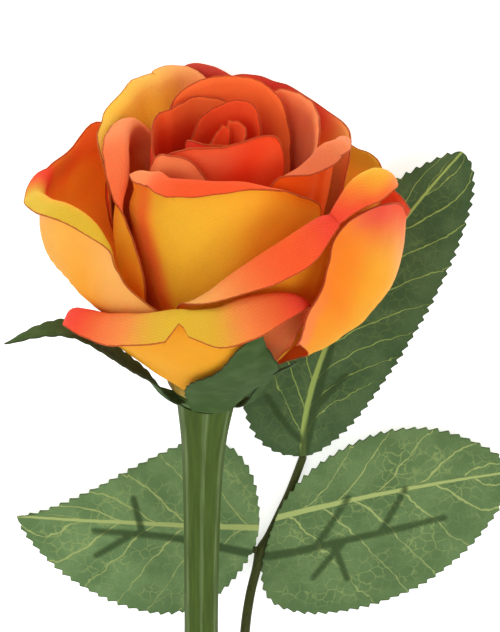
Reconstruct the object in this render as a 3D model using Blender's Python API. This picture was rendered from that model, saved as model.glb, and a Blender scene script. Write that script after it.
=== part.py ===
"""An artificial rose on its stem, lying on its side: four whorls of petals, calyx, stem and leaf."""

import math
from dataclasses import dataclass

import bmesh
import bpy
import numpy as np

NAME = "artificial_rose"
MM = 0.001

# Lying pose: the stem end and the petals underneath carry the rose.
STEM_RISE = 6.9            # degrees that the stem climbs towards the bloom
BASE_HEIGHT = 27.4         # mm from the floor to the foot of the bloom
BLOOM_LEAN = 4.0           # degrees that the bloom leans to the right of the stem
STEM_BEND = 18.0           # mm over which that lean eases out down the stem
CENTRE = (12.08, -68.2)    # mm, middle of the whole rose seen from above

# Petals, calyx and stem, in mm.
PETAL_THICK = 0.62
SEPAL_THICK = 0.64
LEAF_THICK = 0.64
GAP = 0.3
LAYER = 1.6                # mm between the middle surfaces of petals that overlap
STEM_END = -200.0
STEM_RIDGES = 7
STEM_SIDES = 21
PEG_RADIUS = 1.2
BORE_RADIUS = 1.5
OUTER_HUB = (8.2, 0.0, 2.9)        # radius, lower face, upper face
MIDDLE_HUB = (7.8, 3.2, 5.2)
INNER_HUB = (7.2, 5.5, 7.3)
HEART_HUB = (5.2, 7.6, 9.6)
CALYX_HUB = (6.4, -2.9, -0.3)
HUB_SIDES = 18

# Cup walls that the petals follow: (radius, height) points in mm.
WALL_LEFT = ((6, 0), (15, 11), (24, 20), (30, 26), (33.5, 30), (35, 36), (34.5, 41), (35.5, 47))
WALL_RIGHT = ((6, 0), (12, 7), (20, 14), (28.5, 21), (33, 26.5), (35, 31), (36, 36), (35.5, 44))
WALL_FRONT = ((6, 0), (14, 8), (23, 18), (28, 27), (31, 36))
WALL_BAND = ((6, 0.5), (13, 8), (21, 20), (27, 32), (30, 44), (32, 56))
WALL_BACK = ((6, 0), (15, 8), (24.5, 18), (31, 30), (34, 46))
WALL_MIDDLE = ((5.5, 2), (12, 10), (17, 22), (20, 36), (21.5, 50), (22, 62))
WALL_MIDDLE_LEFT = ((5.5, 2), (12, 10), (19, 22), (23.2, 36), (21, 49), (19, 62))
WALL_MIDDLE_BACK = ((5.5, 2), (12, 10), (17.5, 22), (21, 36), (23, 50), (25, 62))
WALL_INNER = ((5, 3), (9, 12), (12.5, 28), (14, 45), (14.5, 64))
WALL_INNER_WIDE = ((5, 3), (9.5, 12), (13.5, 28), (16, 45), (17.5, 62))
WALL_HEART = ((3, 4), (5, 14), (6.5, 30), (7.5, 46), (7.5, 62))
WALL_BUD = ((2, 4), (3, 28), (3, 60))


@dataclass(frozen=True)
class Petal:
    """A petal on a cup wall. Rim points are (azimuth, height, length of the rolled lip)."""

    name: str
    wall: tuple
    foot: tuple
    rim: tuple
    turn: float = 120.0     # degrees through which the lip rolls
    bend: float = 1.4       # radius of the roll, mm
    left: float = 0.0       # mm that the left margin stands out of the wall
    right: float = 0.0
    belly: float = 0.0
    under: tuple = ()       # names of the petals that lie over this one
    rays: int = 13
    rows: int = 5
    lip_rows: int = 3


OUTER = (
    Petal("outer_left", WALL_LEFT, (-90, 2), (
        (-150, 18, 0.5), (-150, 36, 0.5), (-135, 44.6, 0.8), (-121, 41.8, 0.8), (-106, 42, 1.2),
        (-96, 42.3, 3), (-86, 42.5, 4.5), (-74, 45.2, 5.5), (-60, 48.2, 5.8), (-52, 48.3, 5.2),
        (-46.5, 46.6, 4.2), (-43, 42.8, 2.4), (-41, 38, 1.2), (-38, 33.8, 0.7), (-30, 31, 0.5),
        (-24, 29, 0.5), (-20, 22, 0.5)),
        turn=115, bend=1.3, right=-7, rays=15,
        under=("outer_front",)),
    Petal("outer_front", WALL_FRONT, (-18, 2), (
        (-74, 10, 0.5), (-74, 17, 2), (-68, 22.3, 5.5), (-44, 27.2, 8), (-30, 29.8, 8.6),
        (-16, 33.2, 8.4), (-9, 33.8, 7.6), (0, 35.3, 10), (8, 38, 10.5), (17, 39.1, 8.5),
        (25, 38, 5.5), (31, 34.8, 2.2), (33, 28, 0.8), (30, 16, 0.5)),
        turn=115, bend=1.5, left=4,
        under=()),
    Petal("outer_band", WALL_BAND, (36, 2.5), (
        (-18, 22, 0.5), (-15, 31.7, 1.2), (-5, 36.4, 4), (8, 44.1, 8), (16, 48.1, 9.5), (25, 51.5, 9.5),
        (33, 53.7, 7), (38, 53.8, 5), (41, 57.2, 6.5), (45, 60.4, 8.5), (52, 60.8, 8.5), (59, 58.8, 6.8),
        (65, 55.6, 4), (71, 50, 1.5), (75, 40, 0.5), (72, 26, 0.5)),
        turn=140, bend=2, rays=15,
        under=("outer_front", "outer_right")),
    Petal("outer_right", WALL_RIGHT, (84, 2), (
        (28, 27.6, 0.5), (28.3, 33.7, 0.5), (30.3, 38, 0.5), (33.3, 41.6, 0.5), (34.5, 45.6, 0.5),
        (36.8, 49.8, 0.5), (41, 52.2, 0.5), (48, 52.8, 0.7), (57, 52, 1.2), (67, 49.6, 2.2),
        (77, 44.6, 2), (95, 41, 2), (116, 38, 1), (122, 25, 0.5), (118, 12, 0.5)),
        turn=60, bend=2.5, rays=15,
        under=()),
    Petal("outer_back_right", WALL_BACK, (150, 2), (
        (112, 13, 0.5), (108, 30, 0.5), (108, 38, 0.5), (111, 43.3, 0.6), (115, 44.9, 0.7),
        (121, 45.1, 0.8), (130, 44.4, 0.8), (150, 46, 1.5), (178, 44, 1), (190, 32, 0.5),
        (186, 13, 0.5)),
        turn=60,
        under=("outer_right",)),
    Petal("outer_back_left", WALL_BACK, (195, 2), (
        (155, 13, 0.5), (152, 32, 0.5), (162, 43, 1), (190, 46, 1.5), (218, 43, 1),
        (228, 32, 0.5), (228, 13, 0.5)),
        turn=60, belly=-1.6, left=-2, right=-2,
        under=("outer_left", "outer_back_right")),
)
MIDDLE = (
    Petal("middle_front", WALL_MIDDLE, (0, 4.4), (
        (-56, 18, 0.5), (-62, 38, 0.5), (-64, 46, 0.6), (-62, 49.8, 2.5), (-56, 51.8, 4.6),
        (-46, 53.2, 5.6), (-36, 54.4, 5.8), (-16.5, 56.2, 5.4), (3.5, 57, 4), (22, 55.3, 2.4), (37, 52.3, 1.4),
        (50, 49.5, 0.9), (58, 47, 0.6), (60, 43, 0.5), (60, 30, 0.5), (56, 16, 0.5)),
        turn=150, bend=1.3, left=-1.5,
        under=("middle_left", "outer_band", "outer_front")),
    Petal("middle_left", WALL_MIDDLE_LEFT, (-98, 4.4), (
        (-140, 20, 0.5), (-142, 40, 0.5), (-132, 49, 2), (-112, 53.5, 4), (-95, 54.2, 5.5),
        (-80, 53, 6), (-72, 50.5, 5.5), (-69, 47, 4), (-66, 44.2, 2.5), (-58, 42, 1), (-49, 39.9, 0.6),
        (-43, 35.5, 0.5), (-40.5, 31, 0.5), (-43, 24, 0.5), (-50, 14, 0.5)),
        turn=120, bend=1.2, left=-1, belly=-1.5, rays=15,
        under=("middle_back_left", "outer_left")),
    Petal("middle_back_left", WALL_MIDDLE_BACK, (-130, 4.4), (
        (-178, 18, 0.5), (-180, 36, 0.5), (-177, 49, 1), (-168, 55.6, 3), (-157, 58.4, 4),
        (-144, 58.2, 4), (-130, 56, 3.6), (-113, 53.6, 3.5), (-88, 50, 2.2), (-80, 42, 1),
        (-80, 20, 0.5)),
        turn=80, bend=2,
        under=("middle_back", "middle_back_right", "outer_left", "outer_back_left")),
    Petal("middle_back", WALL_MIDDLE_BACK, (-174, 4.4), (
        (-198, 20, 0.5), (-200, 34, 0.5), (-198, 50, 1), (-188, 54.5, 1.5), (-180, 56.2, 2),
        (-171, 57.8, 2), (-162, 58, 2), (-152, 54, 1), (-147, 44, 0.5), (-148, 20, 0.5)),
        turn=60, bend=2, belly=1.5, rays=11,
        under=("outer_back_left", "outer_back_right")),
    Petal("middle_back_right", WALL_MIDDLE_BACK, (140, 4.4), (
        (88, 20, 0.5), (85, 40, 0.5), (88, 49, 0.8), (94, 53, 1.2), (104, 55.4, 1.5), (124, 55.2, 1.5),
        (138, 55.8, 1.5), (150, 56.8, 1.5), (160, 57.8, 1.5), (169, 57.6, 1.5), (177, 57, 1.2),
        (185, 54, 0.8), (190, 40, 0.5), (188, 20, 0.5)),
        turn=60, bend=3, left=0.5, right=-1.5,
        under=("middle_back", "outer_back_right", "outer_band", "outer_right")),
    Petal("middle_right", WALL_MIDDLE, (60, 4.4), (
        (20, 22, 0.5), (18, 44, 0.5), (20, 50, 0.5), (25, 53.8, 0.8), (30, 56, 1.5), (36, 57.3, 3),
        (42, 58.2, 4.6), (52, 59.6, 5.8), (62, 60.2, 5.6), (72, 59.8, 4.8), (82, 58, 3.6), (91, 55, 2),
        (100, 47, 1), (102, 28, 0.5), (98, 18, 0.5)),
        turn=120, bend=1.4, left=-2.5, right=-1, belly=-1,
        under=("middle_front", "middle_back_right", "outer_band")),
)
INNER = (
    Petal("inner_right", WALL_INNER_WIDE, (100, 6.5), (
        (56, 24, 0.5), (58, 42, 0.5), (64, 50, 0.8), (74, 54.5, 1), (84, 57, 1.2), (98, 58.9, 1.4),
        (116, 60, 1.4), (133, 59.8, 1.2), (146, 58.8, 1), (152, 54, 0.6), (153, 44, 0.5), (150, 24, 0.5)),
        turn=90, bend=1.5, left=1, rays=11,
        under=("middle_right", "middle_back_right")),
    Petal("inner_back", WALL_INNER, (-198, 6.5), (
        (-246, 24, 0.5), (-246, 40, 0.5), (-242, 48.5, 0.6), (-238, 53, 0.8), (-229, 57, 1.2),
        (-219, 59.5, 1.4), (-204, 61, 1.6), (-186, 61.2, 1.6), (-168, 60.8, 1.6), (-150, 59.6, 1.4),
        (-135, 57.5, 1), (-126, 53, 0.6), (-124, 40, 0.5), (-126, 24, 0.5)),
        turn=80, bend=2, belly=-0.5, rays=11,
        under=("inner_right", "middle_back")),
    Petal("inner_left", WALL_INNER, (-125, 6.5), (
        (-180, 24, 0.5), (-184, 44, 0.5), (-182, 54.5, 0.5), (-176, 56.8, 0.6), (-164, 57.5, 0.6),
        (-148, 58, 0.7), (-137, 57.4, 0.7), (-125, 57.1, 0.7), (-107, 55.6, 0.7), (-92, 54.8, 0.7),
        (-80, 53, 0.6), (-72, 48, 0.5), (-70, 24, 0.5)),
        turn=80, bend=2, rays=11,
        under=("inner_back", "inner_front_left", "middle_left")),
    Petal("inner_front", WALL_INNER, (0, 6.5), (
        (-62, 24, 0.5), (-62, 44, 0.5), (-58, 51, 0.5), (-50, 54.9, 0.6), (-34, 57.6, 0.7),
        (-20, 58.9, 0.8), (-7, 59.7, 0.9), (10, 61.4, 1.2), (22, 62.3, 1.4), (32, 62, 1.2),
        (40, 59.8, 0.8), (45, 56.5, 0.6), (48, 50, 0.5), (54, 24, 0.5)),
        turn=145, bend=1.1, belly=-0.5, rays=11,
        under=("inner_front_left", "inner_right", "inner_left")),
    Petal("inner_front_left", WALL_INNER_WIDE, (-38, 6.5), (
        (-70, 24, 0.5), (-68, 44, 0.5), (-62, 50.5, 0.5), (-56, 53.6, 0.6), (-50, 55.6, 0.7),
        (-37, 56.9, 0.8), (-27, 56.9, 0.8), (-21, 55.5, 0.7), (-14, 53.5, 0.6), (-8, 50, 0.5),
        (-4, 42, 0.5), (-6, 24, 0.5)),
        turn=140, bend=1.1, belly=-0.8, rays=10,
        under=("middle_front", "middle_left")),
)
HEART = (
    Petal("heart_arch", WALL_HEART, (-185, 8.6), (
        (-250, 26, 0.5), (-246, 44, 0.5), (-236, 53, 0.5), (-229, 56.8, 0.6), (-218, 59.1, 0.7),
        (-204, 59.5, 0.7), (-187, 59.1, 0.7), (-172, 58, 0.7), (-151.5, 56.6, 0.7), (-135, 54.3, 0.6),
        (-123, 51.8, 0.6), (-112, 49.5, 0.5), (-103, 44, 0.5), (-100, 26, 0.5)),
        turn=70, bend=1.5, belly=0.4, rays=11, rows=4,
        under=("inner_back", "inner_left", "inner_right")),
    Petal("heart_front", WALL_HEART, (0, 8.6), (
        (-84, 26, 0.5), (-86, 46, 0.5), (-82, 53.6, 0.5), (-66, 55.3, 0.6), (-51, 55.8, 0.7),
        (-23, 56.2, 0.8), (1, 56.3, 0.8), (30, 55.5, 0.7), (56, 52, 0.5), (66, 40, 0.5), (66, 26, 0.5)),
        turn=90, bend=1, belly=-0.6, rays=11, rows=4,
        under=("heart_arch", "inner_front")),
    Petal("heart_bud", WALL_BUD, (0, 8.6), (
        (-175, 26, 0.5), (-172, 54, 0.5), (-150, 55.6, 0.5), (-111, 53.8, 0.5), (-60, 53.6, 0.6),
        (-26, 54.3, 0.6), (20, 54.7, 0.6), (68, 55.2, 0.6), (93, 56, 0.6), (130, 56.8, 0.6),
        (160, 56.6, 0.5), (172, 54, 0.5), (175, 26, 0.5)),
        turn=60, bend=1, left=-1.2, right=1, rays=13, rows=4,
        under=("heart_arch", "heart_front")),
)


PETALS = {petal.name: petal for petal in OUTER + MIDDLE + INNER + HEART}


@dataclass(frozen=True)
class Sepal:
    """A sepal as a run of (azimuth, radius, height, half width) points, in degrees and mm."""

    name: str
    run: tuple


SEPALS = (
    Sepal("left", ((-66, 4, -1.6, 2.2), (-66, 8.9, -1.0, 2.8), (-69, 13.5, 4.2, 3.4), (-73, 21, 9.9, 4.6),
                   (-74, 28, 14.8, 3.6), (-75, 34, 15.4, 2.2), (-76, 41.5, 12.4, 0.5))),
    Sepal("front", ((4, 4, -1.6, 2.6), (5, 9, -1.0, 3.6), (8, 11, 2.0, 5.2), (10.5, 13.5, 5.6, 7.0),
                    (13, 18.5, 10.6, 7.6), (16, 23.6, 16.6, 5.4), (14.5, 27.8, 23.4, 3.0), (15.5, 30, 28.6, 0.5))),
    Sepal("right", ((66, 4, -1.6, 2.2), (62, 9, -1.0, 2.2), (53, 13.5, 5.4, 2.2), (44, 18, 11.4, 1.9),
                    (37, 23, 16.4, 1.2), (30, 29, 21.5, 0.5))),
    Sepal("back_right", ((170, 4, -1.6, 2.6), (170, 9, -1.0, 3.6), (170, 16, 5.6, 4.8),
                         (170, 21.5, 12, 4.2), (170, 26, 17.6, 2.4), (170, 28, 20.6, 0.5))),
    Sepal("back_left", ((-144, 4, -1.6, 2.6), (-144, 9, -1.0, 3.6), (-144, 17, 5.4, 4.8),
                        (-144, 26, 13.2, 4.4), (-144, 31.6, 21.6, 2.4), (-144, 34, 27, 0.5))),
)


@dataclass(frozen=True)
class Leaflet:
    """A leaflet above the floor: (x, y, height) of base, middle of the midrib and tip, in mm."""

    name: str
    base: tuple
    middle: tuple
    tip: tuple
    half: tuple             # half width on the left and on the right of the midrib
    shape: tuple            # powers of the outline at base and tip, for each side
    back: tuple = (0.0, 0.0)   # how far each side sweeps back at the base, per mm of half width
    keel: float = 0.06      # rise of the margins per mm of half width
    roll: float = 0.0       # mm that the right margin lies above the left one
    wave: float = 0.6
    teeth: int = 14


LEAFLETS = (
    Leaflet("leaflet_left", (10.95, -42.3, 4.9), (-12.0, -41.6, 4.4), (-40.1, -40.6, 2.8), (21.3, 17.8),
            ((0.68, 0.78), (0.5, 1.5)), keel=-0.13, roll=-1.6, teeth=15),
    Leaflet("leaflet_right", (14.5, -40.0, 4.9), (38.6, -34.1, 4.6), (64.3, -30.3, 2.6), (13.2, 27.0),
            ((0.9, 0.8), (0.3, 0.65)), back=(0.0, 0.6), keel=-0.11, roll=-0.6, teeth=15),
    Leaflet("leaflet_top", (20.05, -25.9, 4.6), (27.3, 5.1, 4.2), (51.1, 42.5, 8.0), (14.6, 15.0),
            ((0.4, 0.75), (0.6, 0.5)), keel=0.0, roll=1.2, teeth=17),
)
# Stalk and moulded ribs: runs of (x, y, height) in mm, each with its radius at the two ends.
STALK = (
    (((5.65, -96.5, 15.8), (6.5, -91.0, 15.8), (7.2, -79, 14.2), (8.0, -65, 9.6), (9.0, -58.4, 6.0),
      (10.2, -54.0, 3.4), (11.7, -49.1, 2.1), (15.0, -41.1, 2.0), (17.45, -35.2, 2.0), (20.1, -27.2, 2.3)),
     1.5, 0.9),
)
JUNCTION = (11.7, -49.1, 2.1)
TOP_JUNCTION = (20.1, -27.2, 2.3)
# Ribs under the leaflets: (leaflet, run of (share of length, share of half width), radii, start or None).
RIBS = (
    ("leaflet_left", ((0.19, -0.3), (0.4, -0.15), (0.59, -0.13), (0.72, -0.14)), 0.8, 0.45, JUNCTION),
    ("leaflet_left", ((0.53, -0.12), (0.57, 0.46)), 0.5, 0.4, None),
    ("leaflet_left", ((0.58, -0.15), (0.71, -0.48)), 0.5, 0.4, None),
    ("leaflet_right", ((0.05, 0.47), (0.265, 0.355), (0.44, 0.37), (0.7, 0.433)), 0.8, 0.45, JUNCTION),
    ("leaflet_right", ((0.18, 0.345), (0.32, -0.06)), 0.5, 0.4, None),
    ("leaflet_right", ((0.43, 0.363), (0.56, 0.0)), 0.5, 0.4, None),
    ("leaflet_right", ((0.24, 0.365), (0.277, 0.71)), 0.5, 0.4, None),
    ("leaflet_right", ((0.27, 0.385), (0.165, 0.66)), 0.5, 0.4, None),
    ("leaflet_top", ((0.0, 0.03), (0.185, 0.12), (0.305, 0.1), (0.42, 0.06)), 0.8, 0.45, TOP_JUNCTION),
    ("leaflet_top", ((0.05, 0.09), (0.107, -0.29), (0.2, -0.64)), 0.5, 0.4, None),
    ("leaflet_top", ((0.185, 0.12), (0.335, 0.43)), 0.5, 0.4, None),
)

# Linear colour, roughness and material class of each finish.
FINISHES = {
    "outer_petals": ((0.86, 0.34, 0.035), 0.82, "outer_petal_fabric"),
    "middle_petals": ((0.88, 0.30, 0.03), 0.82, "middle_petal_fabric"),
    "inner_petals": ((0.80, 0.13, 0.03), 0.82, "inner_petal_fabric"),
    "heart_petals": ((0.72, 0.07, 0.02), 0.82, "heart_petal_fabric"),
    "calyx": ((0.05, 0.13, 0.05), 0.75, "sepal_fabric"),
    "stem": ((0.10, 0.17, 0.05), 0.42, "stem_plastic"),
    "leaf_stalk": ((0.03, 0.05, 0.02), 0.45, "stalk_plastic"),
    "leaflet_left": ((0.09, 0.20, 0.08), 0.78, "left_leaf_fabric"),
    "leaflet_right": ((0.09, 0.20, 0.08), 0.78, "right_leaf_fabric"),
    "leaflet_top": ((0.09, 0.20, 0.08), 0.78, "top_leaf_fabric"),
}


def smooth(x):
    """Ease a value from 0 to 1."""
    x = np.clip(x, 0.0, 1.0)
    return x * x * (3 - 2 * x)


def unit(vectors):
    """Vectors scaled to length 1."""
    return vectors / np.maximum(np.linalg.norm(vectors, axis=-1, keepdims=True), 1e-9)


def through(points, count=None, weights=None):
    """A smooth curve through the points, cut into evenly spaced ones if a count is given."""
    p = np.array(points, float)
    a = np.vstack([2 * p[0] - p[1], p, 2 * p[-1] - p[-2]])
    u = np.linspace(0, 1, 25)[:-1, None]
    parts = []
    for i in range(1, len(a) - 2):
        before, start, end, after = a[i - 1], a[i], a[i + 1], a[i + 2]
        parts.append(0.5 * (2 * start + (end - before) * u
                            + (2 * before - 5 * start + 4 * end - after) * u ** 2
                            + (3 * start - before - 3 * end + after) * u ** 3))
    curve = np.vstack(parts + [p[-1:]])
    if count is None:
        return curve
    scaled = curve if weights is None else curve * np.array(weights)
    run = np.concatenate([[0], np.cumsum(np.linalg.norm(np.diff(scaled, axis=0), axis=1))])
    at = np.linspace(0, run[-1], count)
    return np.stack([np.interp(at, run, curve[:, k]) for k in range(curve.shape[1])], 1)


def wall_radius(wall, height):
    """Radius of a cup wall at a height, carried on past its last point."""
    curve = through(wall)
    radius, at = curve[:, 0], curve[:, 1]
    slope = (radius[-1] - radius[-6]) / (at[-1] - at[-6])
    return np.interp(height, at, radius) + np.maximum(height - at[-1], 0) * slope


def petal_radius(petal, azimuth, height):
    """Radius of a petal's face, kept inside the petals that lie over it."""
    rim = np.array(petal.rim, float)
    low, high = rim[:, 0].min(), rim[:, 0].max()
    middle, half = (low + high) / 2, (high - low) / 2
    turn = (azimuth - middle + 180.0) % 360.0 - 180.0
    side = np.clip(turn / half, -1.2, 1.2)
    grow = smooth((height - petal.foot[1]) / 18.0)
    out = np.where(side < 0, petal.left, petal.right) * side ** 2
    radius = wall_radius(petal.wall, height)
    radius = radius + grow * (out + petal.belly * (1 - np.minimum(side ** 2, 1.2)))
    for name in petal.under:
        radius = keep_inside(radius, cover_radius(PETALS[name], azimuth, height), LAYER)
    return np.maximum(radius, 0.3)


def cover_radius(cover, azimuth, height):
    """Radius of a covering petal, which fades out to the sides of its rim and above it."""
    rim = np.array(cover.rim, float)
    low, high = rim[:, 0].min(), rim[:, 0].max()
    off = np.abs((azimuth - (low + high) / 2 + 180.0) % 360.0 - 180.0) - (high - low) / 2
    beside = 6.0 * smooth(off / 24.0) + 50.0 * (off > 24.0)
    above = 12.0 * smooth((height - rim[:, 1].max() - 3.0) / 8.0)
    below = 4.0 * (1.0 - smooth((height - cover.foot[1] - 1.0) / 7.0))
    return petal_radius(cover, azimuth, height) + beside + above + below


def keep_inside(radius, limit, layer):
    """Radius eased below a limit by the thickness of a layer."""
    over = radius - (limit - layer)
    soft = 0.4
    eased = np.where(over > soft, over, np.where(over < -soft, 0.0, (over + soft) ** 2 / (4 * soft)))
    return radius - eased


def petal_point(petal, azimuth, height):
    """Point of a petal's face, in mm in the flower's upright frame."""
    radius = petal_radius(petal, azimuth, height)
    angle = np.radians(azimuth)
    return np.stack([radius * np.sin(angle), -radius * np.cos(angle), height], -1)


def petal_grid(petal):
    """Middle surface of a petal: rays from its foot to the rim, then the rolled lip."""
    rim = through(petal.rim, petal.rays, (0.5, 1.0, 0.3))
    azimuth, lip = rim[:, 0], np.maximum(rim[:, 2], 0.8)
    rise = np.minimum(petal.bend * math.sin(math.radians(min(petal.turn, 90))), lip * 0.8)
    height = rim[:, 1] - rise
    t = np.linspace(0, 1, petal.rows + 1)[None, :]
    foot_azimuth, foot_height = petal.foot
    face = petal_point(petal, foot_azimuth + (azimuth[:, None] - foot_azimuth) * t ** 0.8,
                       foot_height + (height[:, None] - foot_height) * t)
    fold = face[:, -1]
    step = 0.3
    across = petal_point(petal, azimuth + step, height) - petal_point(petal, azimuth - step, height)
    up = petal_point(petal, azimuth, height + step) - petal_point(petal, azimuth, height - step)
    normal = unit(np.cross(across, up))
    normal *= np.where((normal * fold * [1, 1, 0]).sum(-1, keepdims=True) < 0, -1, 1)
    along = unit(np.gradient(fold, axis=0))
    onward = unit(np.cross(along, normal))
    onward *= np.where((onward * (fold - face[:, -2])).sum(-1, keepdims=True) < 0, -1, 1)
    turn = np.radians(petal.turn) * smooth(lip / min(lip.max(), 4.0))
    length = np.linspace(0, 1, petal.lip_rows + 1)[1:][None, :] * lip[:, None]
    angle = np.minimum(length / petal.bend, np.maximum(turn[:, None], 1e-6))
    rest = np.maximum(length - petal.bend * turn[:, None], 0)
    ahead = petal.bend * np.sin(angle) + rest * np.cos(turn[:, None])
    out = petal.bend * (1 - np.cos(angle)) + rest * np.sin(turn[:, None])
    rolled = fold[:, None] + ahead[..., None] * onward[:, None] + out[..., None] * normal[:, None]
    return np.concatenate([face, rolled], 1)


def sheet_faces(rows, columns, pole):
    """Triangles and border of a grid; with a pole its first column is a single point."""
    def at(i, j):
        if not pole:
            return i * columns + j
        return 0 if j == 0 else 1 + i * (columns - 1) + (j - 1)

    faces = []
    for i in range(rows - 1):
        for j in range(columns - 1):
            a, b, c, d = at(i, j), at(i + 1, j), at(i + 1, j + 1), at(i, j + 1)
            if a == b:
                faces.append((a, c, d))
            elif (i + j) % 2:
                faces += [(a, b, c), (a, c, d)]
            else:
                faces += [(a, b, d), (b, c, d)]
    border = [at(0, j) for j in range(columns)]
    border += [at(i, columns - 1) for i in range(1, rows)]
    border += [at(rows - 1, j) for j in range(columns - 2, -1, -1)]
    if not pole:
        border += [at(i, 0) for i in range(rows - 2, 0, -1)]
    else:
        border = border[:-1]
    return faces, border


def vertex_normals(points, faces):
    """Area weighted normals of a triangle mesh."""
    normals = np.zeros_like(points)
    f = np.array(faces)
    cross = np.cross(points[f[:, 1]] - points[f[:, 0]], points[f[:, 2]] - points[f[:, 0]])
    for k in range(3):
        np.add.at(normals, f[:, k], cross)
    return unit(normals)


def thick_sheet(grid, thickness, pole=False):
    """Closed solid of even thickness round a grid of points, alike on both faces."""
    rows, columns = grid.shape[:2]
    points = grid.reshape(-1, 3)
    if pole:
        points = np.vstack([grid[0, 0][None], grid[:, 1:].reshape(-1, 3)])
    faces, border = sheet_faces(rows, columns, pole)
    normals = vertex_normals(points, faces)
    count = len(points)
    both = np.vstack([points + normals * thickness / 2, points - normals * thickness / 2])
    solid = list(faces) + [(c + count, b + count, a + count) for a, b, c in faces]
    for a, b in zip(border, border[1:] + border[:1]):
        solid += [(b, a, a + count), (b, a + count, b + count)]
    return both, solid


def lathe(profile, sides, ridge=None):
    """Closed solid turned from (radius, height) points, with ends that meet on the axis."""
    angles = np.linspace(0, 2 * math.pi, sides, endpoint=False)
    points = [(0.0, 0.0, profile[0][1])]
    for radius, height in profile:
        for angle in angles:
            r = radius if ridge is None else ridge(radius, height, angle)
            points.append((r * math.sin(angle), -r * math.cos(angle), height))
    points.append((0.0, 0.0, profile[-1][1]))
    last = len(points) - 1
    faces = []
    for k in range(sides):
        n = (k + 1) % sides
        faces.append((0, 1 + n, 1 + k))
        top = 1 + (len(profile) - 1) * sides
        faces.append((last, top + k, top + n))
        for row in range(len(profile) - 1):
            a, b = 1 + row * sides, 1 + (row + 1) * sides
            faces += [(a + k, a + n, b + n), (a + k, b + n, b + k)]
    return np.array(points), faces


def ring(hub, bore):
    """Closed ring of a hub (radius, lower, upper) with a bore through it."""
    radius, low, high = hub
    angles = np.linspace(0, 2 * math.pi, HUB_SIDES, endpoint=False)
    corners = ((bore, low), (radius, low), (radius, high), (bore, high))
    points = [(r * math.sin(a), -r * math.cos(a), z) for r, z in corners for a in angles]
    faces = []
    for row in range(4):
        a, b = row * HUB_SIDES, ((row + 1) % 4) * HUB_SIDES
        for k in range(HUB_SIDES):
            n = (k + 1) % HUB_SIDES
            faces += [(a + k, a + n, b + n), (a + k, b + n, b + k)]
    return np.array(points), faces


def tube(run, start, end, sides=6, rings=6):
    """Closed tapering tube along a run of points."""
    line = through(run, rings)
    along = unit(np.gradient(line, axis=0))
    side = unit(np.cross(along, np.array([0.0, 0.0, 1.0])))
    up = np.cross(side, along)
    radii = np.linspace(start, end, rings)
    angles = np.linspace(0, 2 * math.pi, sides, endpoint=False)
    points = [line[0]]
    for k in range(rings):
        for a in angles:
            points.append(line[k] + radii[k] * (math.cos(a) * side[k] + math.sin(a) * up[k]))
    points.append(line[-1])
    last = len(points) - 1
    faces = []
    for k in range(sides):
        n = (k + 1) % sides
        faces.append((0, 1 + n, 1 + k))
        top = 1 + (rings - 1) * sides
        faces.append((last, top + k, top + n))
        for row in range(rings - 1):
            a, b = 1 + row * sides, 1 + (row + 1) * sides
            faces += [(a + k, a + n, b + n), (a + k, b + n, b + k)]
    return np.array(points), faces


def lean(points):
    """Points of the upright rose, leaned to the right at the bloom and easing out down the stem."""
    x, y, z = points[:, 0], points[:, 1], points[:, 2]
    top = math.radians(BLOOM_LEAN)
    below = np.minimum(z, 0.0) / STEM_BEND
    angle = top * np.exp(below)
    centre_x = np.maximum(z, 0.0) * math.sin(top) - top * STEM_BEND * (1 - np.exp(below))
    centre_z = np.where(z > 0, z * math.cos(top), z)
    return np.stack([centre_x + x * np.cos(angle), y, centre_z - x * np.sin(angle)], 1)


def lay_down(points):
    """Flower frame to the lying rose: mm above the floor, bloom foot over the origin."""
    a = math.radians(STEM_RISE)
    x, y, z = points[:, 0], points[:, 1], points[:, 2]
    return np.stack([x, y * math.sin(a) + z * math.cos(a),
                     BASE_HEIGHT - y * math.cos(a) + z * math.sin(a)], 1)


def rest_on_floor(points, thickness):
    """Middle surface pressed flat where it would pass through the floor."""
    low, soft = thickness / 2, 0.3
    over = points[..., 2] - low
    eased = np.where(over > soft, over, np.where(over < -soft, 0.0, (over + soft) ** 2 / (4 * soft)))
    out = points.copy()
    out[..., 2] = low + eased
    return out


def placed(points):
    """Lying mm to metres in the row frame, with the origin under the middle."""
    return (points - np.array([CENTRE[0], CENTRE[1], 0.0])) * MM


def make_object(name, points, faces, collection):
    """Mesh object of triangles whose normals face out."""
    mesh = bpy.data.meshes.new(name)
    mesh.from_pydata([tuple(map(float, p)) for p in points], [], [tuple(map(int, f)) for f in faces])
    bm = bmesh.new()
    bm.from_mesh(mesh)
    bmesh.ops.recalc_face_normals(bm, faces=bm.faces)
    if bm.calc_volume(signed=True) < 0:
        bmesh.ops.reverse_faces(bm, faces=bm.faces)
    bm.to_mesh(mesh)
    bm.free()
    thing = bpy.data.objects.new(name, mesh)
    collection.objects.link(thing)
    return thing


def finish(thing, parent):
    """Give an object its material, smooth shading with crisp rims, and its parent."""
    colour, roughness, label = FINISHES[thing.name]
    material = bpy.data.materials.new(label)
    material.use_nodes = True
    shader = material.node_tree.nodes["Principled BSDF"]
    shader.inputs["Base Color"].default_value = (*colour, 1.0)
    shader.inputs["Roughness"].default_value = roughness
    thing.data.materials.clear()
    thing.data.materials.append(material)
    thing.data.polygons.foreach_set("use_smooth", [True] * len(thing.data.polygons))
    thing.data.set_sharp_from_angle(angle=math.radians(55))
    thing.parent = parent


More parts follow.
